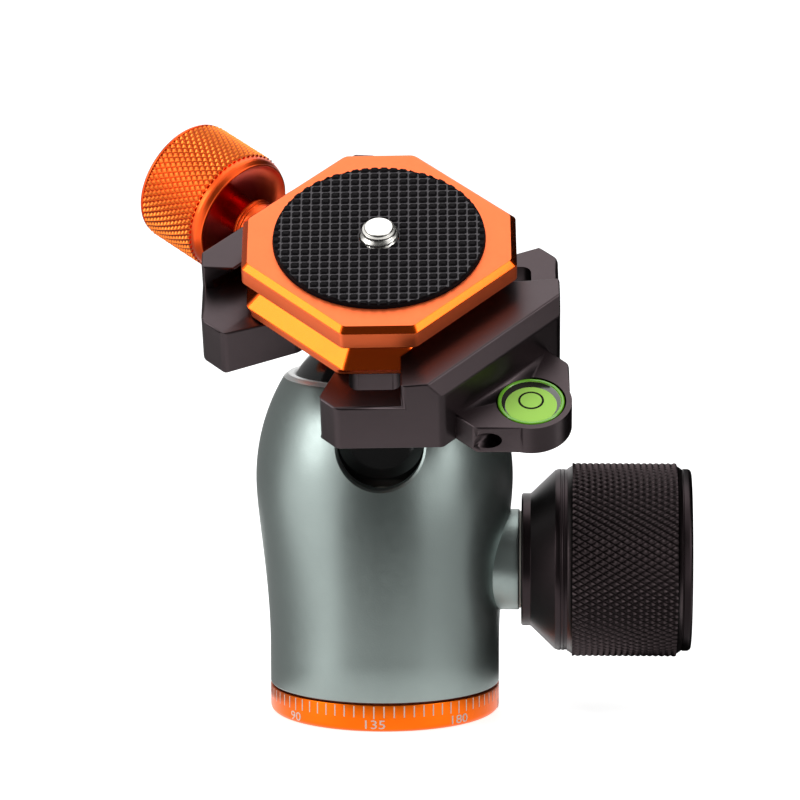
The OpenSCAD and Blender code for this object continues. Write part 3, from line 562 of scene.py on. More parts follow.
# The rim is painted pale grey and less metallic than the barrel, so that it shows a thin white line: a painted
# highlight.
middle = face_centres(housing_mesh)
on_rim = (middle[:, 2] > EDGE_Z - 0.05) & (from_axis(middle) > MOUTH_R - MOUTH_CUT)
paint_faces(housing_mesh, "rim_painted_highlight", on_rim)
barrel = add_piece("housing_barrel", housing_mesh, UPRIGHT, "housing", "slate_anodised", ["housing"])
barrel.data.normals_split_custom_set(barrel_normals(barrel.data))

# %% [markdown]
# The neck that carries the lock knob is a plain turned boss. Its outer end has a small chamfer,
# and it runs into the barrel, so that no gap shows where the two surfaces meet.

# %% Knob boss
BOSS_START, BOSS_END, BOSS_R, BOLT_BORE_R = 17.9, 22.5, 8.4, 3.1
boss = rounded([(BOSS_START, BOLT_BORE_R), (BOSS_START, BOSS_R), (BOSS_END, BOSS_R),
                (BOSS_END, BOLT_BORE_R)], 0.3, closed=True)
add_piece("knob_boss", lathed("knob_boss", boss, 96, closed=True), LOCK, "housing", "slate_anodised")

# %% [markdown]
# ## The panning ring and its dial
# The ring is turned, with a rounded lower edge and a recess below for the spindle's flange.

# %% Panning ring
RING_R, RING_H, RECESS_Z, RECESS_R, SPINDLE_HOLE_R = 19.1, 4.6, 2.45, 12.55, 8.05
EDGE_UP, EDGE_IN = 1.12, 1.4
edge_turn = np.linspace(0, np.pi / 2, 9)
edge_r = RING_R - EDGE_IN + EDGE_IN * np.sin(edge_turn)
ring_profile = np.vstack([
    [(RECESS_Z, RECESS_R), (0.0, RECESS_R)],
    np.stack([EDGE_UP * (1 - np.cos(edge_turn)), edge_r], -1),
    rounded([(2.0, RING_R), (RING_H, RING_R), (RING_H, SPINDLE_HOLE_R)], 0.12)[1:],
    [(RECESS_Z, SPINDLE_HOLE_R)],
])
ring_mesh = lathed("panning_ring", ring_profile, 192, closed=True)
add_piece("panning_ring", ring_mesh, UPRIGHT, "base", "copper_ring", ["base_ring"])

# %% [markdown]
# The dial is laser marked. Marks this fine are modelled as thin patches that follow the ring a
# fiftieth of a millimetre above it: one tick every five degrees, and a number every forty-five.
# They are drawn on a flat strip first, and the strip is then bent round the ring. The dial's 135
# stands 3.4 degrees to the left of the front.

# %% Dial ticks
DIAL_R = RING_R + 0.02
DIAL_ZERO = -135 - 3.4
TICKS, TICK_TOP, SHORT_TICK, LONG_TICK, TICK_HALF_WIDTH = 72, 4.42, 2.55, 2.35, 0.1


def on_dial(points):
    """Bend a flat drawing round the ring: x becomes arc length, y height, z distance outwards."""
    angle = points[:, 0] / RING_R - np.pi / 2
    return polar(DIAL_R + points[:, 2], angle, points[:, 1])


def dial_arc(degrees):
    """Arc length from the front of the ring to a number of the dial."""
    return np.radians(degrees + DIAL_ZERO) * RING_R


tick = np.arange(TICKS)
low = np.where(tick % 9 == 0, LONG_TICK, SHORT_TICK)
high = np.full(TICKS, TICK_TOP)
across = dial_arc(tick * 360 / TICKS)[:, None] + np.array([-1, 1, 1, -1]) * TICK_HALF_WIDTH
tick_points = np.stack([across, np.stack([low, low, high, high], -1), np.zeros((TICKS, 4))], -1)
tick_mesh = bpy.data.meshes.new("dial_ticks")
tick_faces = np.arange(4 * TICKS).reshape(-1, 4).tolist()
tick_mesh.from_pydata(on_dial(tick_points.reshape(-1, 3)) * MM, [], tick_faces)
add_piece("dial_ticks", tick_mesh, UPRIGHT, "base", "dial_mark")

# %% [markdown]
# The numbers are text turned into a mesh. Text faces are long triangles, so they are first cut
# by a few upright planes, which lets them bend round the ring with it.

# %% Dial numbers
NUMBER_SIZE, NUMBER_STRETCH, NUMBER_Z = 2.05, 1.3, 0.72
STROKE_GAIN, SLICE_REACH = 0.006, 2.5


def flat_number(value):
    """Points and faces of a number drawn flat, centred on x, in millimetres."""
    curve = bpy.data.curves.new("number", "FONT")
    curve.body = str(value)
    curve.size = NUMBER_SIZE
    curve.align_x = "CENTER"
    curve.offset = STROKE_GAIN
    curve.resolution_u = 3
    holder = in_scene("number", curve)
    bpy.context.view_layer.update()
    mesh = bpy.data.meshes.new_from_object(holder)
    bpy.data.objects.remove(holder)
    with editing(mesh) as work:
        for x in np.linspace(-SLICE_REACH, SLICE_REACH, 11):
            everything = work.verts[:] + work.edges[:] + work.faces[:]
            bmesh.ops.bisect_plane(work, geom=everything, plane_co=(x, 0, 0), plane_no=(1, 0, 0))
    return read_all(mesh.vertices, "co", 3), [tuple(face.vertices) for face in mesh.polygons]


number_points, number_faces, first = [], [], 0
for value in range(0, 360, 45):
    points, faces = flat_number(value)
    points = points * [NUMBER_STRETCH, 1, 1] + [dial_arc(value), NUMBER_Z, 0]
    number_points.append(on_dial(points))
    number_faces += [tuple(first + corner for corner in face) for face in faces]
    first += len(points)
number_mesh = bpy.data.meshes.new("dial_numbers")
number_mesh.from_pydata(np.concatenate(number_points) * MM, [], number_faces)
add_piece("dial_numbers", number_mesh, UPRIGHT, "base", "dial_mark")

# %% [markdown]
# ## The ball
# The ball and its neck are one turned piece with a glossy black coat. A small fillet joins the
# two, kept under half a millimetre so that the neck still clears the housing's mouth.

# %% Ball and neck
BALL_R, NECK_R, NECK_L, NECK_FILLET = 17.5, 6.6, 22.05, 0.35
SCREW_BORE_R, SCREW_BORE_DEPTH = 3.05, 11
neck_start = math.asin((NECK_R + NECK_FILLET) / BALL_R)
ball_turn = np.linspace(math.pi, neck_start, 60)
ball_curve = np.stack([BALL_R * np.cos(ball_turn), BALL_R * np.sin(ball_turn)], -1)
ball_curve[0, 1] = 0
neck = rounded([tuple(ball_curve[-1]), (BALL_R * math.cos(neck_start) + 0.1, NECK_R), (NECK_L, NECK_R),
                (NECK_L, SCREW_BORE_R)], 0.3)
neck_bore = [(NECK_L - SCREW_BORE_DEPTH, SCREW_BORE_R), (NECK_L - SCREW_BORE_DEPTH, 0.0)]
ball_mesh = lathed("ball", np.vstack([ball_curve, neck[1:], neck_bore]), 144)
add_piece("ball_and_neck", ball_mesh, HEAD, "ball", "black_gloss", ["ball"])

# %% [markdown]
# ## Knurls
# A diamond knurl is two sets of V grooves that cross. The distance from the nearest groove of
# each set is a triangle wave, so the height at a point is the smaller of two triangle waves in
# u+v and u-v. The tips are cut flat a little, as a knurling wheel leaves them.

# %% Knurled band
KNURL_SAMPLES, KNURL_FLAT = 8, 0.85


def triangle_wave(t):
    """0 at whole numbers, 1 midway between them."""
    return 1 - 2 * np.abs(t % 1.0 - 0.5)


def knurled_band(start, end, radius, around, pitch, depth):
    """Grid of a knurl: radius - depth + depth * min(tri(u+v), tri(u-v)) / flat, at most radius.
    u counts diamonds round the axis and v along it."""
    columns = around * KNURL_SAMPLES
    rows = round((end - start) / pitch * KNURL_SAMPLES) + 1
    z = np.linspace(start, end, rows)[:, None]
    angle = np.linspace(0, 2 * np.pi, columns + 1)[None, :]
    u, v = angle * around / (2 * np.pi), (z - start) / pitch
    height = np.minimum(triangle_wave(u + v), triangle_wave(u - v))
    return polar(radius - depth + depth * np.minimum(height / KNURL_FLAT, 1), angle, z)


# The tip attribute is what the knurl finishes read to paint shade into the grooves.
def mark_tips(mesh, start, end, radius, depth):
    """Attribute tip: how far a point stands above the groove floor, 0 to 1; 1 off the knurl."""
    points = points_mm(mesh)
    tip = np.clip((from_axis(points) - radius + depth) / depth, 0, 1)
    on_band = (points[:, 2] >= start) & (points[:, 2] <= end)
    write_shares(mesh, "tip", np.where(on_band, tip, 1.0))


# %% [markdown]
# ## The lock knob
# The knob is built from a turned core, a knurled grip and a cap that is pressed in at the end.
# Each has its own small edges, so that the light draws a thin line where they meet. The core
# starts with a flange and a cone, and its smooth band carries two fine turned lines.

# %% Lock knob core
FLANGE_R, FLANGE_X, CONE_X, BAND_X, GRIP_X = 11.03, 22.8, 24.4, 28.5, 30.4
BAND_R, GRIP_R, GRIP_CHAMFER = 15.1, 16.1, 1.0
CAP_R, CAP_X, CAP_END = 15.15, 49.4, 51.0
SLEEVE_R, SLEEVE_END, BOLT_ROOM_R = 12.8, CAP_X - 0.05, 3.3
LINE_DEPTH = 0.07
band_lines = [(BAND_X + x, BAND_R - drop) for x, drop in (
    (0.75, 0.0), (0.85, LINE_DEPTH), (1.0, LINE_DEPTH), (1.1, 0.0), (1.35, 0.0), (1.45, LINE_DEPTH))]
core_profile = np.vstack([
    rounded([(FLANGE_X, BOLT_ROOM_R), (FLANGE_X, FLANGE_R - 0.25), (FLANGE_X + 0.25, FLANGE_R),
             (CONE_X - 0.1, FLANGE_R), (CONE_X, FLANGE_R + 0.05), (BAND_X - 0.1, BAND_R - 0.2),
             (BAND_X + 0.5, BAND_R)], 0.3),
    band_lines,
    [(GRIP_X, BAND_R - LINE_DEPTH), (GRIP_X, SLEEVE_R)],
    [(SLEEVE_END, SLEEVE_R), (SLEEVE_END, BOLT_ROOM_R)],
])
core_mesh = lathed("lock_knob_core", core_profile, 160, closed=True)
add_piece("lock_knob_core", core_mesh, LOCK, "lock_knob", "black_knob", ["knob_core"], 25)

# %% [markdown]
# The grip is a sleeve with a diamond knurl between two chamfers. Its ends are turned with as
# many columns as the knurl has, so that the rings of points join one to one.

# %% Lock knob grip
LOCK_KNURLS, LOCK_PITCH, LOCK_DEPTH, RUN_OUT = 84, 1.99, 0.42, 0.15
knurl_from, knurl_to = GRIP_X + GRIP_CHAMFER - RUN_OUT, CAP_X - GRIP_CHAMFER + RUN_OUT
band = knurled_band(knurl_from, knurl_to, GRIP_R, LOCK_KNURLS, LOCK_PITCH, LOCK_DEPTH)
grip_inside = (GRIP_X, SLEEVE_R + 0.01)
head_end = rounded([grip_inside, (GRIP_X, BAND_R + 0.05), (knurl_from, GRIP_R - LOCK_DEPTH)], 0.12)
tail_end = rounded([(knurl_to, GRIP_R - LOCK_DEPTH), (SLEEVE_END, CAP_R), (SLEEVE_END, SLEEVE_R + 0.01),
                    grip_inside], 0.1)
columns = LOCK_KNURLS * KNURL_SAMPLES
grip_grid = np.concatenate([turned(head_end, columns), band, turned(tail_end, columns)])
grip_mesh = merged_mesh("lock_knob_grip", grip_grid)
# The grip's tip attribute paints shade into its grooves.
mark_tips(grip_mesh, knurl_from, knurl_to, GRIP_R, LOCK_DEPTH)
add_piece("lock_knob_grip", grip_mesh, LOCK, "lock_knob", "black_knurl_painted_shade", ["knob_grip"], 60)

# %% [markdown]
# The cap is a turned lid. Its outer edge is a quarter circle, and its face is sunk a little
# inside a flat rim.

# %% Lock knob cap
CAP_ROUND, CAP_RIM, CAP_SUNK = 0.7, 4.0, 0.4
cap_turn = np.linspace(0, np.pi / 2, 10)
cap_edge = np.stack([CAP_END - CAP_ROUND + CAP_ROUND * np.sin(cap_turn),
                     CAP_R - CAP_ROUND + CAP_ROUND * np.cos(cap_turn)], -1)
cap_profile = np.vstack([
    [(CAP_X, 0.0), (CAP_X, CAP_R - 0.1), (CAP_X + 0.1, CAP_R - 0.1), (CAP_X + 0.2, CAP_R)],
    cap_edge,
    rounded([(CAP_END, CAP_R - 1.5), (CAP_END, CAP_R - CAP_RIM),
             (CAP_END - CAP_SUNK, CAP_R - CAP_RIM - CAP_SUNK), (CAP_END - CAP_SUNK, 0.0)], 0.2),
])
cap_mesh = lathed("lock_knob_cap", cap_profile, 160)
add_piece("lock_knob_cap", cap_mesh, LOCK, "lock_knob", "black_knob", ["knob_cap"])

# %% [markdown]
# ## The clamp knob
# This one is turned from a bar and anodised copper. Its inner face is a deep dish, whose wall
# curves in to a slim stem, with a bead round the rim, and a ridged hub runs on to the jaw. The
# dish is a cubic curve, so that its slope changes evenly and its reflections flow.

# %% Clamp knob profile
KNOB_R, RIM_X, KNOB_END = 10.5, 32.3, 46.7
RIM_DROP, RIM_WALL, DISH_DEPTH = 0.4, 0.75, 2.6
HUB_R, STEM_R, HUB_START, COLLAR_X = 4.1, 3.0, 26.0, 29.4
KNURL_START, KNURL_END = 34.5, 45.95
CLAMP_KNURLS, CLAMP_PITCH, CLAMP_DEPTH = 60, 1.7, 0.48
FACE_R, FACE_SUNK = 5.6, 0.3

t = np.linspace(1, 0, 32)
lip_r = KNOB_R - RIM_DROP - RIM_WALL
dish = np.stack([
    cubic(RIM_X + 0.1, RIM_X + 0.6 * DISH_DEPTH, RIM_X + DISH_DEPTH, RIM_X + 0.9 * DISH_DEPTH, t),
    cubic(lip_r, lip_r - 0.5, 0.72 * lip_r, STEM_R, t),
], -1)
ridges = [(COLLAR_X + x, HUB_R + rise) for x, rise in (
    (-0.3, -0.05), (-0.15, 0.12), (0.15, 0.12), (0.3, -0.02), (0.45, 0.2), (0.9, 0.2), (1.1, 0.0))]
hub = rounded([(HUB_START, 0.0), (HUB_START, HUB_R - 0.3), (HUB_START + 0.3, HUB_R - 0.05), *ridges,
               (COLLAR_X + 1.2, STEM_R), (dish[0, 0] - 0.4, STEM_R), tuple(dish[0])], 0.08)
band_r = KNOB_R - RIM_DROP
groove_r = KNOB_R - CLAMP_DEPTH
lip = rounded([tuple(dish[-1]), (RIM_X, lip_r + 0.1), (RIM_X + 0.1, lip_r + 0.3),
               (RIM_X + 0.25, lip_r + 0.32)], 0.05)
bead = rounded([(RIM_X + 0.3, lip_r + 0.36), (RIM_X + 0.9, band_r - 0.05),
                (KNURL_START - 0.9, band_r + 0.08), (KNURL_START - 0.1, band_r + 0.08),
                (KNURL_START, groove_r)], 0.5)
far_end = rounded([(KNURL_END, groove_r), (KNURL_END + 0.15, KNOB_R - 0.2), (KNURL_END + 0.4, KNOB_R - 0.2),
                   (KNOB_END, band_r - 0.06), (KNOB_END, FACE_R + 0.4),
                   (KNOB_END - FACE_SUNK, FACE_R), (KNOB_END - FACE_SUNK, 0.0)], 0.12)
print(f"dish {dish[:, 0].max() - RIM_X:.1f} mm deep, inside a lip of {lip_r:.2f} mm radius")

# %% [markdown]
# The knob is one mesh with three finishes: satin on the turned surfaces, and two of the two-tone
# kind. The knurl's grooves are painted a deeper red than its tips, as painted shade. The dish
# darkens towards the stem with painted shade, and the attribute for that is 0 at its lip and 1
# where the hub's radius begins.

# %% Clamp knob
columns = CLAMP_KNURLS * KNURL_SAMPLES
band = knurled_band(KNURL_START, KNURL_END, KNOB_R, CLAMP_KNURLS, CLAMP_PITCH, CLAMP_DEPTH)
near_side = turned(np.vstack([hub[:-1], dish, lip[1:], bead]), columns)
knob_grid = np.concatenate([near_side, band, turned(far_end, columns)])
knob_mesh = merged_mesh("clamp_knob", knob_grid)
knob_mesh.materials.append(finishes["copper_satin"])
middle = face_centres(knob_mesh)
middle_z, middle_r = middle[:, 2], from_axis(middle)
on_knurl = (middle_z > KNURL_START) & (middle_z < KNURL_END) & (middle_r > lip_r)
in_dish = (middle_z > COLLAR_X + 1.15) & (middle_z < KNOB_END - 2) & (middle_r < lip_r)
paint_faces(knob_mesh, "copper_knurl_painted_shade", on_knurl)
paint_faces(knob_mesh, "copper_dish_painted_shade", in_dish)
mark_tips(knob_mesh, KNURL_START, KNURL_END, KNOB_R, CLAMP_DEPTH)
# The depth attribute paints shade into the dish, deeper towards the stem.
depth = (lip_r - from_axis(points_mm(knob_mesh))) / (lip_r - HUB_R)
write_shares(knob_mesh, "depth", np.clip(depth, 0, 1))
add_piece("clamp_knob_turned", knob_mesh, CLAMP_KNOB, "clamp_knob", "copper_anodised", ["clamp_knob"], 60)

# %% [markdown]
# ## Clamp and jaw
# The two milled halves of the clamp are right as solids, but milled edges are broken by hand or
# by a tumbler. A copy of each solid gets its doubles merged and its flat faces joined, and then a
# Bevel with a weight for each edge: wide on the upright corners of the outline, narrow elsewhere.

# %% Broken edges on a milled piece
SHORT_EDGE, WIDE_EDGE, NARROW_EDGE = 0.6, 0.9, 0.28
CAD_DOUBLES_MM, FLAT_DEGREES, EDGE_DEGREES = 0.003, 1.0, 20


def edge_weight(edge):
    """Bevel weight: 1 on upright corners, narrow / wide on other sharp outward edges, else 0."""
    if len(edge.link_faces) != 2:
        return 0.0
    sharp_enough = edge.calc_face_angle() > math.radians(EDGE_DEGREES)
    if not (sharp_enough and edge.is_convex and edge.calc_length() > SHORT_EDGE * MM):
        return 0.0
    along = (edge.verts[1].co - edge.verts[0].co).normalized()
    return 1.0 if abs(along.dot(neck_axis)) > 0.99 else NARROW_EDGE / WIDE_EDGE


def softened(node_name, piece_name, body, finish):
    """Copy of a node with its outward edges bevelled by their weights."""
    mesh = frame["nodes"][node_name].data.copy()
    with editing(mesh) as work:
        bmesh.ops.remove_doubles(work, verts=work.verts, dist=CAD_DOUBLES_MM * MM)
        bmesh.ops.dissolve_limit(work, angle_limit=math.radians(FLAT_DEGREES), verts=work.verts,
                                 edges=work.edges)
        weight = work.edges.layers.float.new("bevel_weight_edge")
        for edge in work.edges:
            edge[weight] = edge_weight(edge)
    mesh.materials.clear()
    piece = add_piece(piece_name, mesh, UPRIGHT, body, finish, [node_name])
    bevel = piece.modifiers.new("broken_edges", "BEVEL")
    bevel.limit_method = "WEIGHT"
    bevel.width = WIDE_EDGE * MM
    bevel.segments = 3
    bevel.use_clamp_overlap = False
    bevel.miter_outer = "MITER_ARC"
    bevel.harden_normals = True


softened("clamp_body", "clamp_fixed_half", "clamp", "black_anodised")
softened("moving_jaw", "clamp_moving_jaw", "jaw", "black_anodised")

# %% [markdown]
# ## The quick-release plate
# The plate's outline is an octagon with rounded corners at every height. Offsetting eight side
# distances inwards by the corner radius gives eight centres, and an arc round each centre gives
# the outline. The side and corner distances change with height, which makes the top chamfer, the
# dovetail groove and the foot in one loft.

# %% Octagon rings
CORNER_R, ARC_STEPS = 1.3, 13
SIDES = np.arange(8) * np.pi / 4
SWING = SIDES[:, None] + np.linspace(0, np.pi / 4, ARC_STEPS)[None, :]


def octagon(side, corner):
    """Outline with side distance side, corner distance corner and arcs of CORNER_R.
    Two neighbouring edge lines with normals at a and a+45 degrees meet at the arc's centre."""
    reach = np.where(np.arange(8) % 2 == 0, side, corner) - CORNER_R
    after = np.roll(reach, -1)
    x = (reach * np.sin(SIDES + np.pi / 4) - after * np.sin(SIDES)) / math.sin(math.pi / 4)
    y = (after * np.cos(SIDES) - reach * np.cos(SIDES + np.pi / 4)) / math.sin(math.pi / 4)
    ring = np.stack([x[:, None] + CORNER_R * np.cos(SWING), y[:, None] + CORNER_R * np.sin(SWING)], -1)
    return ring.reshape(-1, 2)


def disc_ring(radius):
    """Circle whose points stand at the same turns as those of the octagon."""
    return radius * np.stack([np.cos(SWING), np.sin(SWING)], -1).reshape(-1, 2)


# %% [markdown]
# The outside is a stack of octagons from the foot up, and the inside a stack of circles down
# from the top: the pad's shallow pocket, the screw's hole, and the room for the screw's head. All
# rings have the same number of points, so one grid runs over the whole plate and closes on itself.

# %% Plate
SLAB, SLAB_CORNER, DOVETAIL, GROOVE = 19.7, 21.97, 19.25, 2.6
PLATE_T, SLAB_T, TOP_CHAMFER, FOOT_INSET = 10.45, 3.8, 0.9, 0.8
POCKET_R, POCKET_Z, SCREW_HOLE_R, HEAD_ROOM_R, HEAD_ROOM_Z = 17.05, -0.6, 3.12, 7.3, -7.05
foot_corner = SLAB_CORNER - (SLAB - DOVETAIL)
low = SLAB_T + 2 * GROOVE
plate_levels = rounded([
    (-PLATE_T, DOVETAIL - 1.0, foot_corner - FOOT_INSET - 1.0),
    (-PLATE_T, DOVETAIL, foot_corner - FOOT_INSET),
    (-low - FOOT_INSET, DOVETAIL, foot_corner - FOOT_INSET),
    (-low, DOVETAIL, foot_corner),
    (-SLAB_T - GROOVE, DOVETAIL - GROOVE, foot_corner - GROOVE),
    (-SLAB_T, SLAB, SLAB_CORNER),
    (-TOP_CHAMFER, SLAB, SLAB_CORNER),
    (0.0, SLAB - TOP_CHAMFER, SLAB_CORNER - TOP_CHAMFER),
    (0.0, SLAB - TOP_CHAMFER - 1.0, SLAB_CORNER - TOP_CHAMFER - 1.0),
], 0.14)
inner_levels = [(0.0, POCKET_R + 0.05), (-0.05, POCKET_R), (POCKET_Z, POCKET_R), (POCKET_Z, SCREW_HOLE_R),
                (HEAD_ROOM_Z, SCREW_HOLE_R), (HEAD_ROOM_Z, HEAD_ROOM_R), (-PLATE_T, HEAD_ROOM_R)]


def at_height(ring, z):
    """Outline points with a third coordinate."""
    return np.column_stack([ring, np.full(len(ring), z)])


outer_rings = np.stack([at_height(octagon(side, corner), z) for z, side, corner in plate_levels])
inner_rings = np.stack([at_height(disc_ring(r), z) for z, r in inner_levels])
plate_grid = np.concatenate([outer_rings, inner_rings, outer_rings[:1]])
plate_grid = np.concatenate([plate_grid, plate_grid[:, :1]], axis=1)
plate_mesh = merged_mesh("release_plate", plate_grid)
plate_mesh.materials.append(finishes["copper_anodised"])
upward = np.abs(face_normals(plate_mesh)[:, 2])
paint_faces(plate_mesh, "copper_cut", (upward > 0.05) & (upward < 0.98))
add_piece("release_plate", plate_mesh, PLATE, "plate", "copper_anodised", ["plate"], 25)

# %% [markdown]
# ## The rubber pad
# The pad is a thin disc with a field of small square studs, moulded in rows that run corner to
# corner of the plate. The studs are a height over a square grid whose lines stand only where
# the shape turns: at the foot and at the shoulder of each stud.

# %% Studs
PAD_R, FIELD_R, PAD_HOLE_R, FIELD_HOLE_R = 17.0, 16.85, 3.2, 3.4
PAD_FLOOR, PAD_LOW, PAD_TOP = -0.58, 0.66, 1.0
STUD_PITCH, STUD_FOOT, STUD_SHOULDER = 1.57, 0.06, 0.25
STUD_FLOOR = PAD_LOW + 0.03


def square_studs():
    """Heights min(rise(u), rise(v)) over two grid directions; rise goes from 0 to 1 between the
    foot and the shoulder of a stud, whose middle lies half way between whole numbers."""
    count = math.ceil(FIELD_R / STUD_PITCH) + 1
    marks = np.array([-STUD_FOOT, STUD_FOOT, STUD_SHOULDER, 1 - STUD_SHOULDER])
    line = (np.arange(-count, count)[:, None] + marks).reshape(-1)
    rise = np.clip((np.abs(line - np.round(line)) - STUD_FOOT) / (STUD_SHOULDER - STUD_FOOT), 0, 1)
    height = STUD_FLOOR + (PAD_TOP - STUD_FLOOR) * np.minimum(rise[:, None], rise[None, :])
    u, v = np.meshgrid(line * STUD_PITCH, line * STUD_PITCH, indexing="ij")
    return np.stack([(u - v) * math.sqrt(0.5), (u + v) * math.sqrt(0.5), height], -1)


def fill_holes(work, edges):
    """Fill the holes among these edges, and turn every face of the closed shell outwards."""
    bmesh.ops.holes_fill(work, edges=edges)
    bmesh.ops.recalc_face_normals(work, faces=work.faces)


def closed_below(grid, z):
    """A solid under a grid of heights: its border drops to z and is filled there."""
    mesh = merged_mesh("field", grid)
    with editing(mesh) as work:
        border = [edge for edge in work.edges if edge.is_boundary]
        walls = bmesh.ops.extrude_edge_only(work, edges=border)["geom"]
        low_edges = [item for item in walls if isinstance(item, bmesh.types.BMEdge) and item.is_boundary]
        for vertex in {vertex for edge in low_edges for vertex in edge.verts}:
            vertex.co.z = z * MM
        fill_holes(work, low_edges)
    return mesh


studs = closed_below(square_studs(), PAD_LOW - 0.2)
print("stud field:", len(studs.polygons), "faces")

# %% [markdown]
# A Boolean cuts the field round, studs and all, as a punched pad does, and another joins it to
# the disc below. The webs between the studs are painted paler than the studs' sides, a painted
# highlight, and the tip attribute says how far a point stands above them.

# %% Pad
field_ring = [(PAD_LOW - 0.4, FIELD_HOLE_R), (PAD_LOW - 0.4, FIELD_R),
              (PAD_TOP + 1, FIELD_R), (PAD_TOP + 1, FIELD_HOLE_R)]
disc_profile = rounded([(PAD_FLOOR, PAD_HOLE_R), (PAD_FLOOR, PAD_R), (PAD_LOW, PAD_R),
                        (PAD_LOW, PAD_HOLE_R)], 0.12, closed=True)
round_field = combined(studs, lathed("field_ring", field_ring, 192, closed=True), "INTERSECT")
pad_mesh = combined(lathed("pad_disc", disc_profile, 192, closed=True), round_field, "UNION")
# The tip attribute paints the webs pale, a painted highlight.
pad_points = points_mm(pad_mesh)
over = np.clip((pad_points[:, 2] - STUD_FLOOR) / (PAD_TOP - STUD_FLOOR), 0, 1)
write_shares(pad_mesh, "tip", np.where(from_axis(pad_points) > FIELD_R - 0.02, 1.0, over))
add_piece("grip_pad", pad_mesh, PLATE, "plate", "waffle_rubber_painted_highlight", ["plate_pad"], 20)

# %% [markdown]
# ## The camera screw
# The thread is a groove that climbs once round for each turn. Along any upright line the depth
# is a triangle wave whose phase runs with the angle, which is the whole formula of a thread. The
# groove fades out at the top, where a stepped tip begins.

# %% Camera screw's thread
THREAD_R, THREAD_ROOT, THREAD_PITCH, THREAD_PHASE = 3.07, 2.55, 1.27, 0.56
THREAD_LOW, THREAD_END, THREAD_FADE = -5.0, 1.75, 0.35
SCREW_TOP, SCREW_STEP_R, SCREW_FLAT_R = 2.6, THREAD_ROOT + 0.12, 2.2
THREAD_COLUMNS = 96


def thread_radius(climb, angle):
    """root + (crest - root) * clip(1.6 tri(climb / pitch - turns + phase) - 0.3, 0, 1) * fade."""
    wave = triangle_wave(climb / THREAD_PITCH - angle / (2 * np.pi) + THREAD_PHASE)
    fade = np.clip((THREAD_END - climb) / THREAD_FADE, 0, 1)
    return THREAD_ROOT + (THREAD_R - THREAD_ROOT) * np.clip(wave * 1.6 - 0.3, 0, 1) * fade


angle = np.linspace(0, 2 * np.pi, THREAD_COLUMNS + 1)[None, :]
climb = np.linspace(THREAD_LOW, THREAD_END, 90)[:, None]
thread = polar(thread_radius(climb, angle), angle, climb)
tip = rounded([(THREAD_END, THREAD_ROOT), (THREAD_END + 0.05, SCREW_STEP_R),
               (THREAD_END + 0.35, SCREW_STEP_R), (THREAD_END + 0.5, SCREW_FLAT_R + 0.1),
               (SCREW_TOP - 0.08, SCREW_FLAT_R + 0.08), (SCREW_TOP, SCREW_FLAT_R - 0.05),
               (SCREW_TOP, 0.0)], 0.06)
foot_of_screw = turned([(THREAD_LOW, 0.0), (THREAD_LOW, THREAD_ROOT)], THREAD_COLUMNS)
screw_grid = np.concatenate([foot_of_screw, thread, turned(tip, THREAD_COLUMNS)])
screw_mesh = merged_mesh("camera_thread", screw_grid)
add_piece("camera_thread", screw_mesh, PLATE, "camera_screw", "steel", sharp=40)

# %% [markdown]
# The screw's slotted head, under the plate, is right as a solid. A copy of the whole screw is cut
# just above the thread's start, where the thread hides the cut, and the upper part is dropped.

# %% Camera screw's head
cut_height = PLATE @ Vector((0, 0, (THREAD_LOW + 0.2) * MM))
head_mesh = frame["nodes"]["camera_screw"].data.copy()
with editing(head_mesh) as work:
    bmesh.ops.remove_doubles(work, verts=work.verts, dist=CAD_DOUBLES_MM * MM)
    everything = work.verts[:] + work.edges[:] + work.faces[:]
    bmesh.ops.bisect_plane(work, geom=everything, dist=1e-7, plane_co=cut_height, plane_no=neck_axis,
                           clear_outer=True)
    fill_holes(work, [edge for edge in work.edges if edge.is_boundary])
head_mesh.materials.clear()
add_piece("camera_screw_head", head_mesh, UPRIGHT, "camera_screw", "steel", ["camera_screw"])

# %% [markdown]
# ## The bubble level
# The level is a clear lime vial set in a bored pocket, with a thin dark gap round it. Its top is
# a shallow dome, and a black circle is printed under the dome. The circle is a thin band that
# follows the dome two hundredths of a millimetre above it, so that it shows as a sharp line.

# %% Level and its circle
LEVEL_X, LEVEL_R, LEVEL_DEPTH, LEVEL_PROUD, LEVEL_BELOW_PLATE = 33.7, 5.28, 4.0, 0.15, 13.8
WINDOW_R, DOME_DROP = 4.75, 0.3
CIRCLE_R, CIRCLE_WIDE = 2.05, 0.34
LEVEL = shifted(HEAD, x=LEVEL_X, z=plate_top - LEVEL_BELOW_PLATE)


def dome_height(radius):
    """Height of the vial's top: proud at the middle, lower by a square law outwards."""
    return LEVEL_PROUD - DOME_DROP * (radius / WINDOW_R) ** 2


dome_r = np.linspace(WINDOW_R, 0, 16)
vial = np.vstack([
    rounded([(-LEVEL_DEPTH, 0.0), (-LEVEL_DEPTH, LEVEL_R), (-0.1, LEVEL_R), (0.0, LEVEL_R - 0.12),
             (-0.02, WINDOW_R + 0.1), (dome_height(WINDOW_R), WINDOW_R)], 0.06),
    np.stack([dome_height(dome_r), dome_r], -1)[1:],
])
vial_mesh = lathed("level_vial", vial, 96)
vial_mesh.materials.append(finishes["vial_acrylic"])
middle = face_centres(vial_mesh)
paint_faces(vial_mesh, "vial_liquid", (from_axis(middle) < WINDOW_R) & (middle[:, 2] > -1))
add_piece("level_vial", vial_mesh, LEVEL, "clamp", "vial_acrylic", ["level_cup", "level_liquid"])

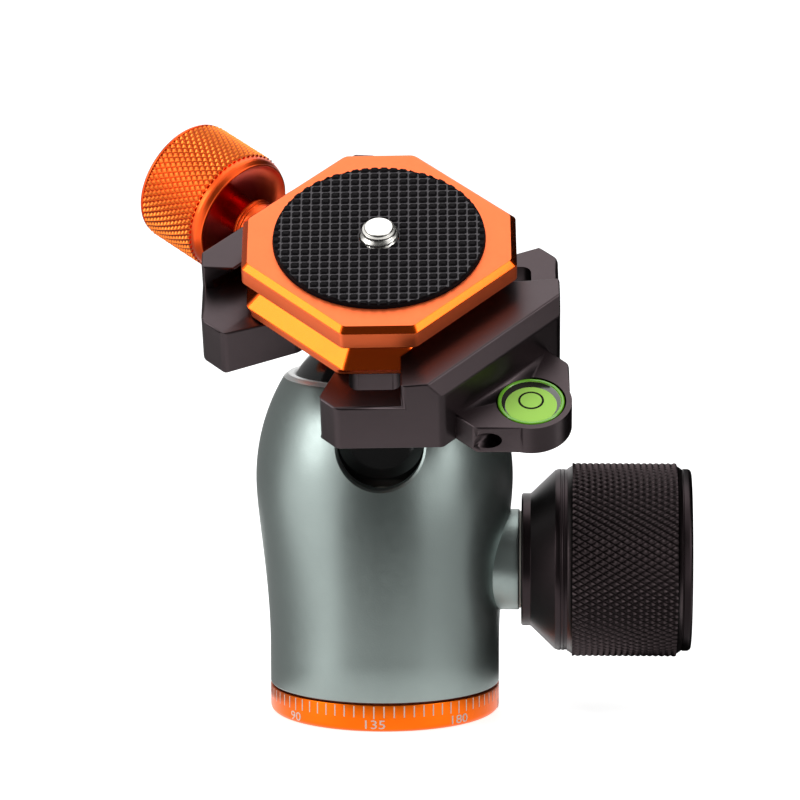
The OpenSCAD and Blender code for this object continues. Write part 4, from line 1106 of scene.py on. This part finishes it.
inner_r = CIRCLE_R - CIRCLE_WIDE
circle = rounded([(dome_height(r) + lift, r) for r, lift in (
    (inner_r, -0.05), (inner_r, 0.02), (CIRCLE_R, 0.02), (CIRCLE_R, -0.05))], 0.01)
circle_mesh = lathed("level_circle", circle, 72, closed=True)
add_piece("level_circle", circle_mesh, LEVEL, "clamp", "print_black")

# %% [markdown]
# A dark crescent against the far side of the window is painted shade of the window's rim. It
# lies where air would gather at the highest place, with the head leaning this far, between the
# window's edge and a smaller circle shifted downhill. Uphill is the part of "up" that lies in the
# plane of the vial.

# %% Painted shade crescent
CRESCENT_INNER_R, CRESCENT_SHIFT, CRESCENT_EDGE_R = 4.1, 0.9, 4.7
CRESCENT_SWELL, CRESCENT_SKIN, CRESCENT_THICK = 0.06, 0.004, 0.05
uphill = HEAD.to_3x3().inverted() @ Vector((0, 0, 1))
uphill_angle = math.atan2(uphill.y, uphill.x)
reach = CRESCENT_INNER_R**2 - CRESCENT_SHIFT**2 - CRESCENT_EDGE_R**2
widest = math.acos(reach / (2 * CRESCENT_SHIFT * CRESCENT_EDGE_R))
turn = np.linspace(-widest, widest, 73)[None, :]
inner = np.sqrt(CRESCENT_INNER_R**2 - (CRESCENT_SHIFT * np.sin(turn)) ** 2) - CRESCENT_SHIFT * np.cos(turn)
share = np.linspace(0, 1, 7)[:, None]
radius = inner + (CRESCENT_EDGE_R - inner) * share
skin = dome_height(radius)
lens = CRESCENT_SWELL * share * (1 - share) + CRESCENT_SKIN
over_skin = polar(radius, turn + uphill_angle, skin + lens)
under_skin = polar(radius, turn + uphill_angle, skin - CRESCENT_THICK)[::-1]
# The crescent's dark finish is painted shade of the window's rim.
shade_crescent_mesh = merged_mesh("level_shade_crescent", np.concatenate([over_skin, under_skin, over_skin[:1]]))
with editing(shade_crescent_mesh) as work:
    fill_holes(work, work.edges[:])
add_piece("level_shade_crescent", shade_crescent_mesh, LEVEL, "clamp", "vial_painted_shade")

# %% [markdown]
# ## Floor and light
# The floor is a plain pale sheet, and the room is white. Both show white to the camera and in
# reflections, and the floor still takes the object's soft shadow. A Light Path node tells the
# rays that see them directly from those that only carry light.

# %% Rays that see the backdrop
def seen_directly(nodes, links):
    """Socket that is 1 for camera, glossy and transmission rays and 0 for all others."""
    path = nodes.new("ShaderNodeLightPath")
    seen = path.outputs["Is Camera Ray"]
    for kind in ("Is Glossy Ray", "Is Transmission Ray"):
        larger = nodes.new("ShaderNodeMath")
        larger.operation = "MAXIMUM"
        links.new(seen, larger.inputs[0])
        links.new(path.outputs[kind], larger.inputs[1])
        seen = larger.outputs[0]
    return seen


# %% Floor
WHITE = (1, 1, 1, 1)
FLOOR_HALF, FLOOR_GLOW = 3.0, 0.8


def floor_material():
    """Pale diffuse floor with some white light of its own for rays that see it directly."""
    material, nodes, links, shader = blank_material(
        "pale_floor", Base_Color=(0.8, 0.8, 0.8, 1), Roughness=0.5, Specular_IOR_Level=0.1,
        Emission_Color=WHITE)
    strength = nodes.new("ShaderNodeMath")
    strength.operation = "MULTIPLY"
    strength.inputs[1].default_value = FLOOR_GLOW
    links.new(seen_directly(nodes, links), strength.inputs[0])
    links.new(strength.outputs[0], shader.inputs["Emission Strength"])
    return material


floor_mesh = bpy.data.meshes.new("floor")
corners = np.array([(-1, -1), (1, -1), (1, 1), (-1, 1)])
floor_mesh.from_pydata(np.column_stack([corners * FLOOR_HALF, np.zeros(4)]), [], [(0, 1, 2, 3)])
floor_mesh.materials.append(floor_material())
floor = in_scene("floor", floor_mesh)
print(f"floor {2 * FLOOR_HALF:.0f} m wide")

# %% [markdown]
# The world lights the object at about a third of the strength that it shows to the camera. A
# Mix Shader picks one of two backgrounds by the kind of ray.

# %% World
ROOM_LIGHT, ROOM_SEEN = 0.35, 1.0
world = bpy.data.worlds.new("studio")
world.use_nodes = True
bpy.context.scene.world = world
nodes, links = world.node_tree.nodes, world.node_tree.links
nodes.clear()
room, backdrop = nodes.new("ShaderNodeBackground"), nodes.new("ShaderNodeBackground")
set_inputs(room, Color=WHITE, Strength=ROOM_LIGHT)
set_inputs(backdrop, Color=WHITE, Strength=ROOM_SEEN)
pick = nodes.new("ShaderNodeMixShader")
out = nodes.new("ShaderNodeOutputWorld")
links.new(seen_directly(nodes, links), pick.inputs["Fac"])
links.new(room.outputs[0], pick.inputs[1])
links.new(backdrop.outputs[0], pick.inputs[2])
links.new(pick.outputs[0], out.inputs["Surface"])
print("room light", ROOM_LIGHT)

# %% [markdown]
# Metal looks like what it reflects. Two softboxes give the barrel its two long highlights, and a
# third hangs above. Cards that only reflections see draw the dark lines between them: tall ones
# in front and at both sides, a low one close in front for the foot of the barrel, and three that
# lie flat, a millimetre or two above the floor, for the undersides and the sides of the plate.

# %% Helpers for lamps and cards
def around(azimuth, distance, height):
    """Point at an azimuth in degrees from the front, positive to the right, in metres."""
    swing = math.radians(azimuth)
    return Vector((distance * math.sin(swing), -distance * math.cos(swing), height))


def aimed(spot, target):
    """Matrix at spot whose -Z looks at target."""
    look = (Vector(target) - Vector(spot)).to_track_quat("-Z", "Y")
    return Matrix.Translation(spot) @ look.to_matrix().to_4x4()


AIM_HEIGHT = 0.05  # metres, the middle of the head


def softbox(name, spot, size, glow):
    """Rectangular lamp aimed at the head; power = pi * area * glow, with glow 1 as a white card."""
    lamp = bpy.data.lights.new(name, "AREA")
    lamp.shape = "RECTANGLE"
    lamp.size, lamp.size_y = size
    lamp.energy = math.pi * size[0] * size[1] * glow
    in_scene(name, lamp).matrix_world = aimed(spot, (0, 0, AIM_HEIGHT))


def card(name, azimuth, near, far, low, high, width, grey):
    """Card that only reflections see, from near and low to far and high; grey is its brightness."""
    foot, top = around(azimuth, near, low), around(azimuth, far, high)
    side = around(azimuth + 90, width / 2, 0)
    mesh = bpy.data.meshes.new(name)
    mesh.from_pydata([foot - side, foot + side, top + side, top - side], [], [(0, 1, 2, 3)])
    mesh.materials.append(blank_material(
        name, Base_Color=(0.01, 0.01, 0.01, 1), Specular_IOR_Level=0.0, Emission_Color=WHITE,
        Emission_Strength=grey)[0])
    holder = in_scene(name, mesh)
    holder.visible_camera = False
    holder.visible_diffuse = False
    holder.visible_shadow = False


# %% Lamps and cards
SOFTBOXES = {
    # spot, width and height in metres, glow
    "left_softbox": (around(-66, 0.60, 0.29), (0.26, 0.42), 4.0),
    "right_softbox": (around(61, 0.60, 0.30), (0.20, 0.40), 3.2),
    "top_softbox": (Vector((0.0, 0.20, 0.70)), (0.70, 0.60), 1.2),
}
CARDS = {
    # azimuth, near, far, low, high, width, grey
    "front_card": (-2, 0.076, 0.11, 0.001, 0.075, 0.108, 0.10),
    "upper_front_card": (0, 0.11, 0.16, 0.075, 0.24, 0.15, 0.08),
    "left_card": (-128, 0.15, 0.18, 0.001, 0.25, 0.20, 0.28),
    "right_card": (115, 0.10, 0.12, 0.001, 0.28, 0.24, 0.0),
    "low_front_card": (-2, 0.058, 0.060, 0.001, 0.016, 0.085, 0.10),
    "right_shade": (118, 0.030, 0.14, 0.001, 0.002, 0.075, 0.0),
    "half_right_shade": (55, 0.045, 0.15, 0.002, 0.003, 0.06, 0.5),
    "left_shade": (-120, 0.022, 0.15, 0.001, 0.002, 0.11, 0.35),
}
for name, values in SOFTBOXES.items():
    softbox(name, *values)
for name, values in CARDS.items():
    card(name, *values)
print(len(SOFTBOXES), "softboxes and", len(CARDS), "cards")
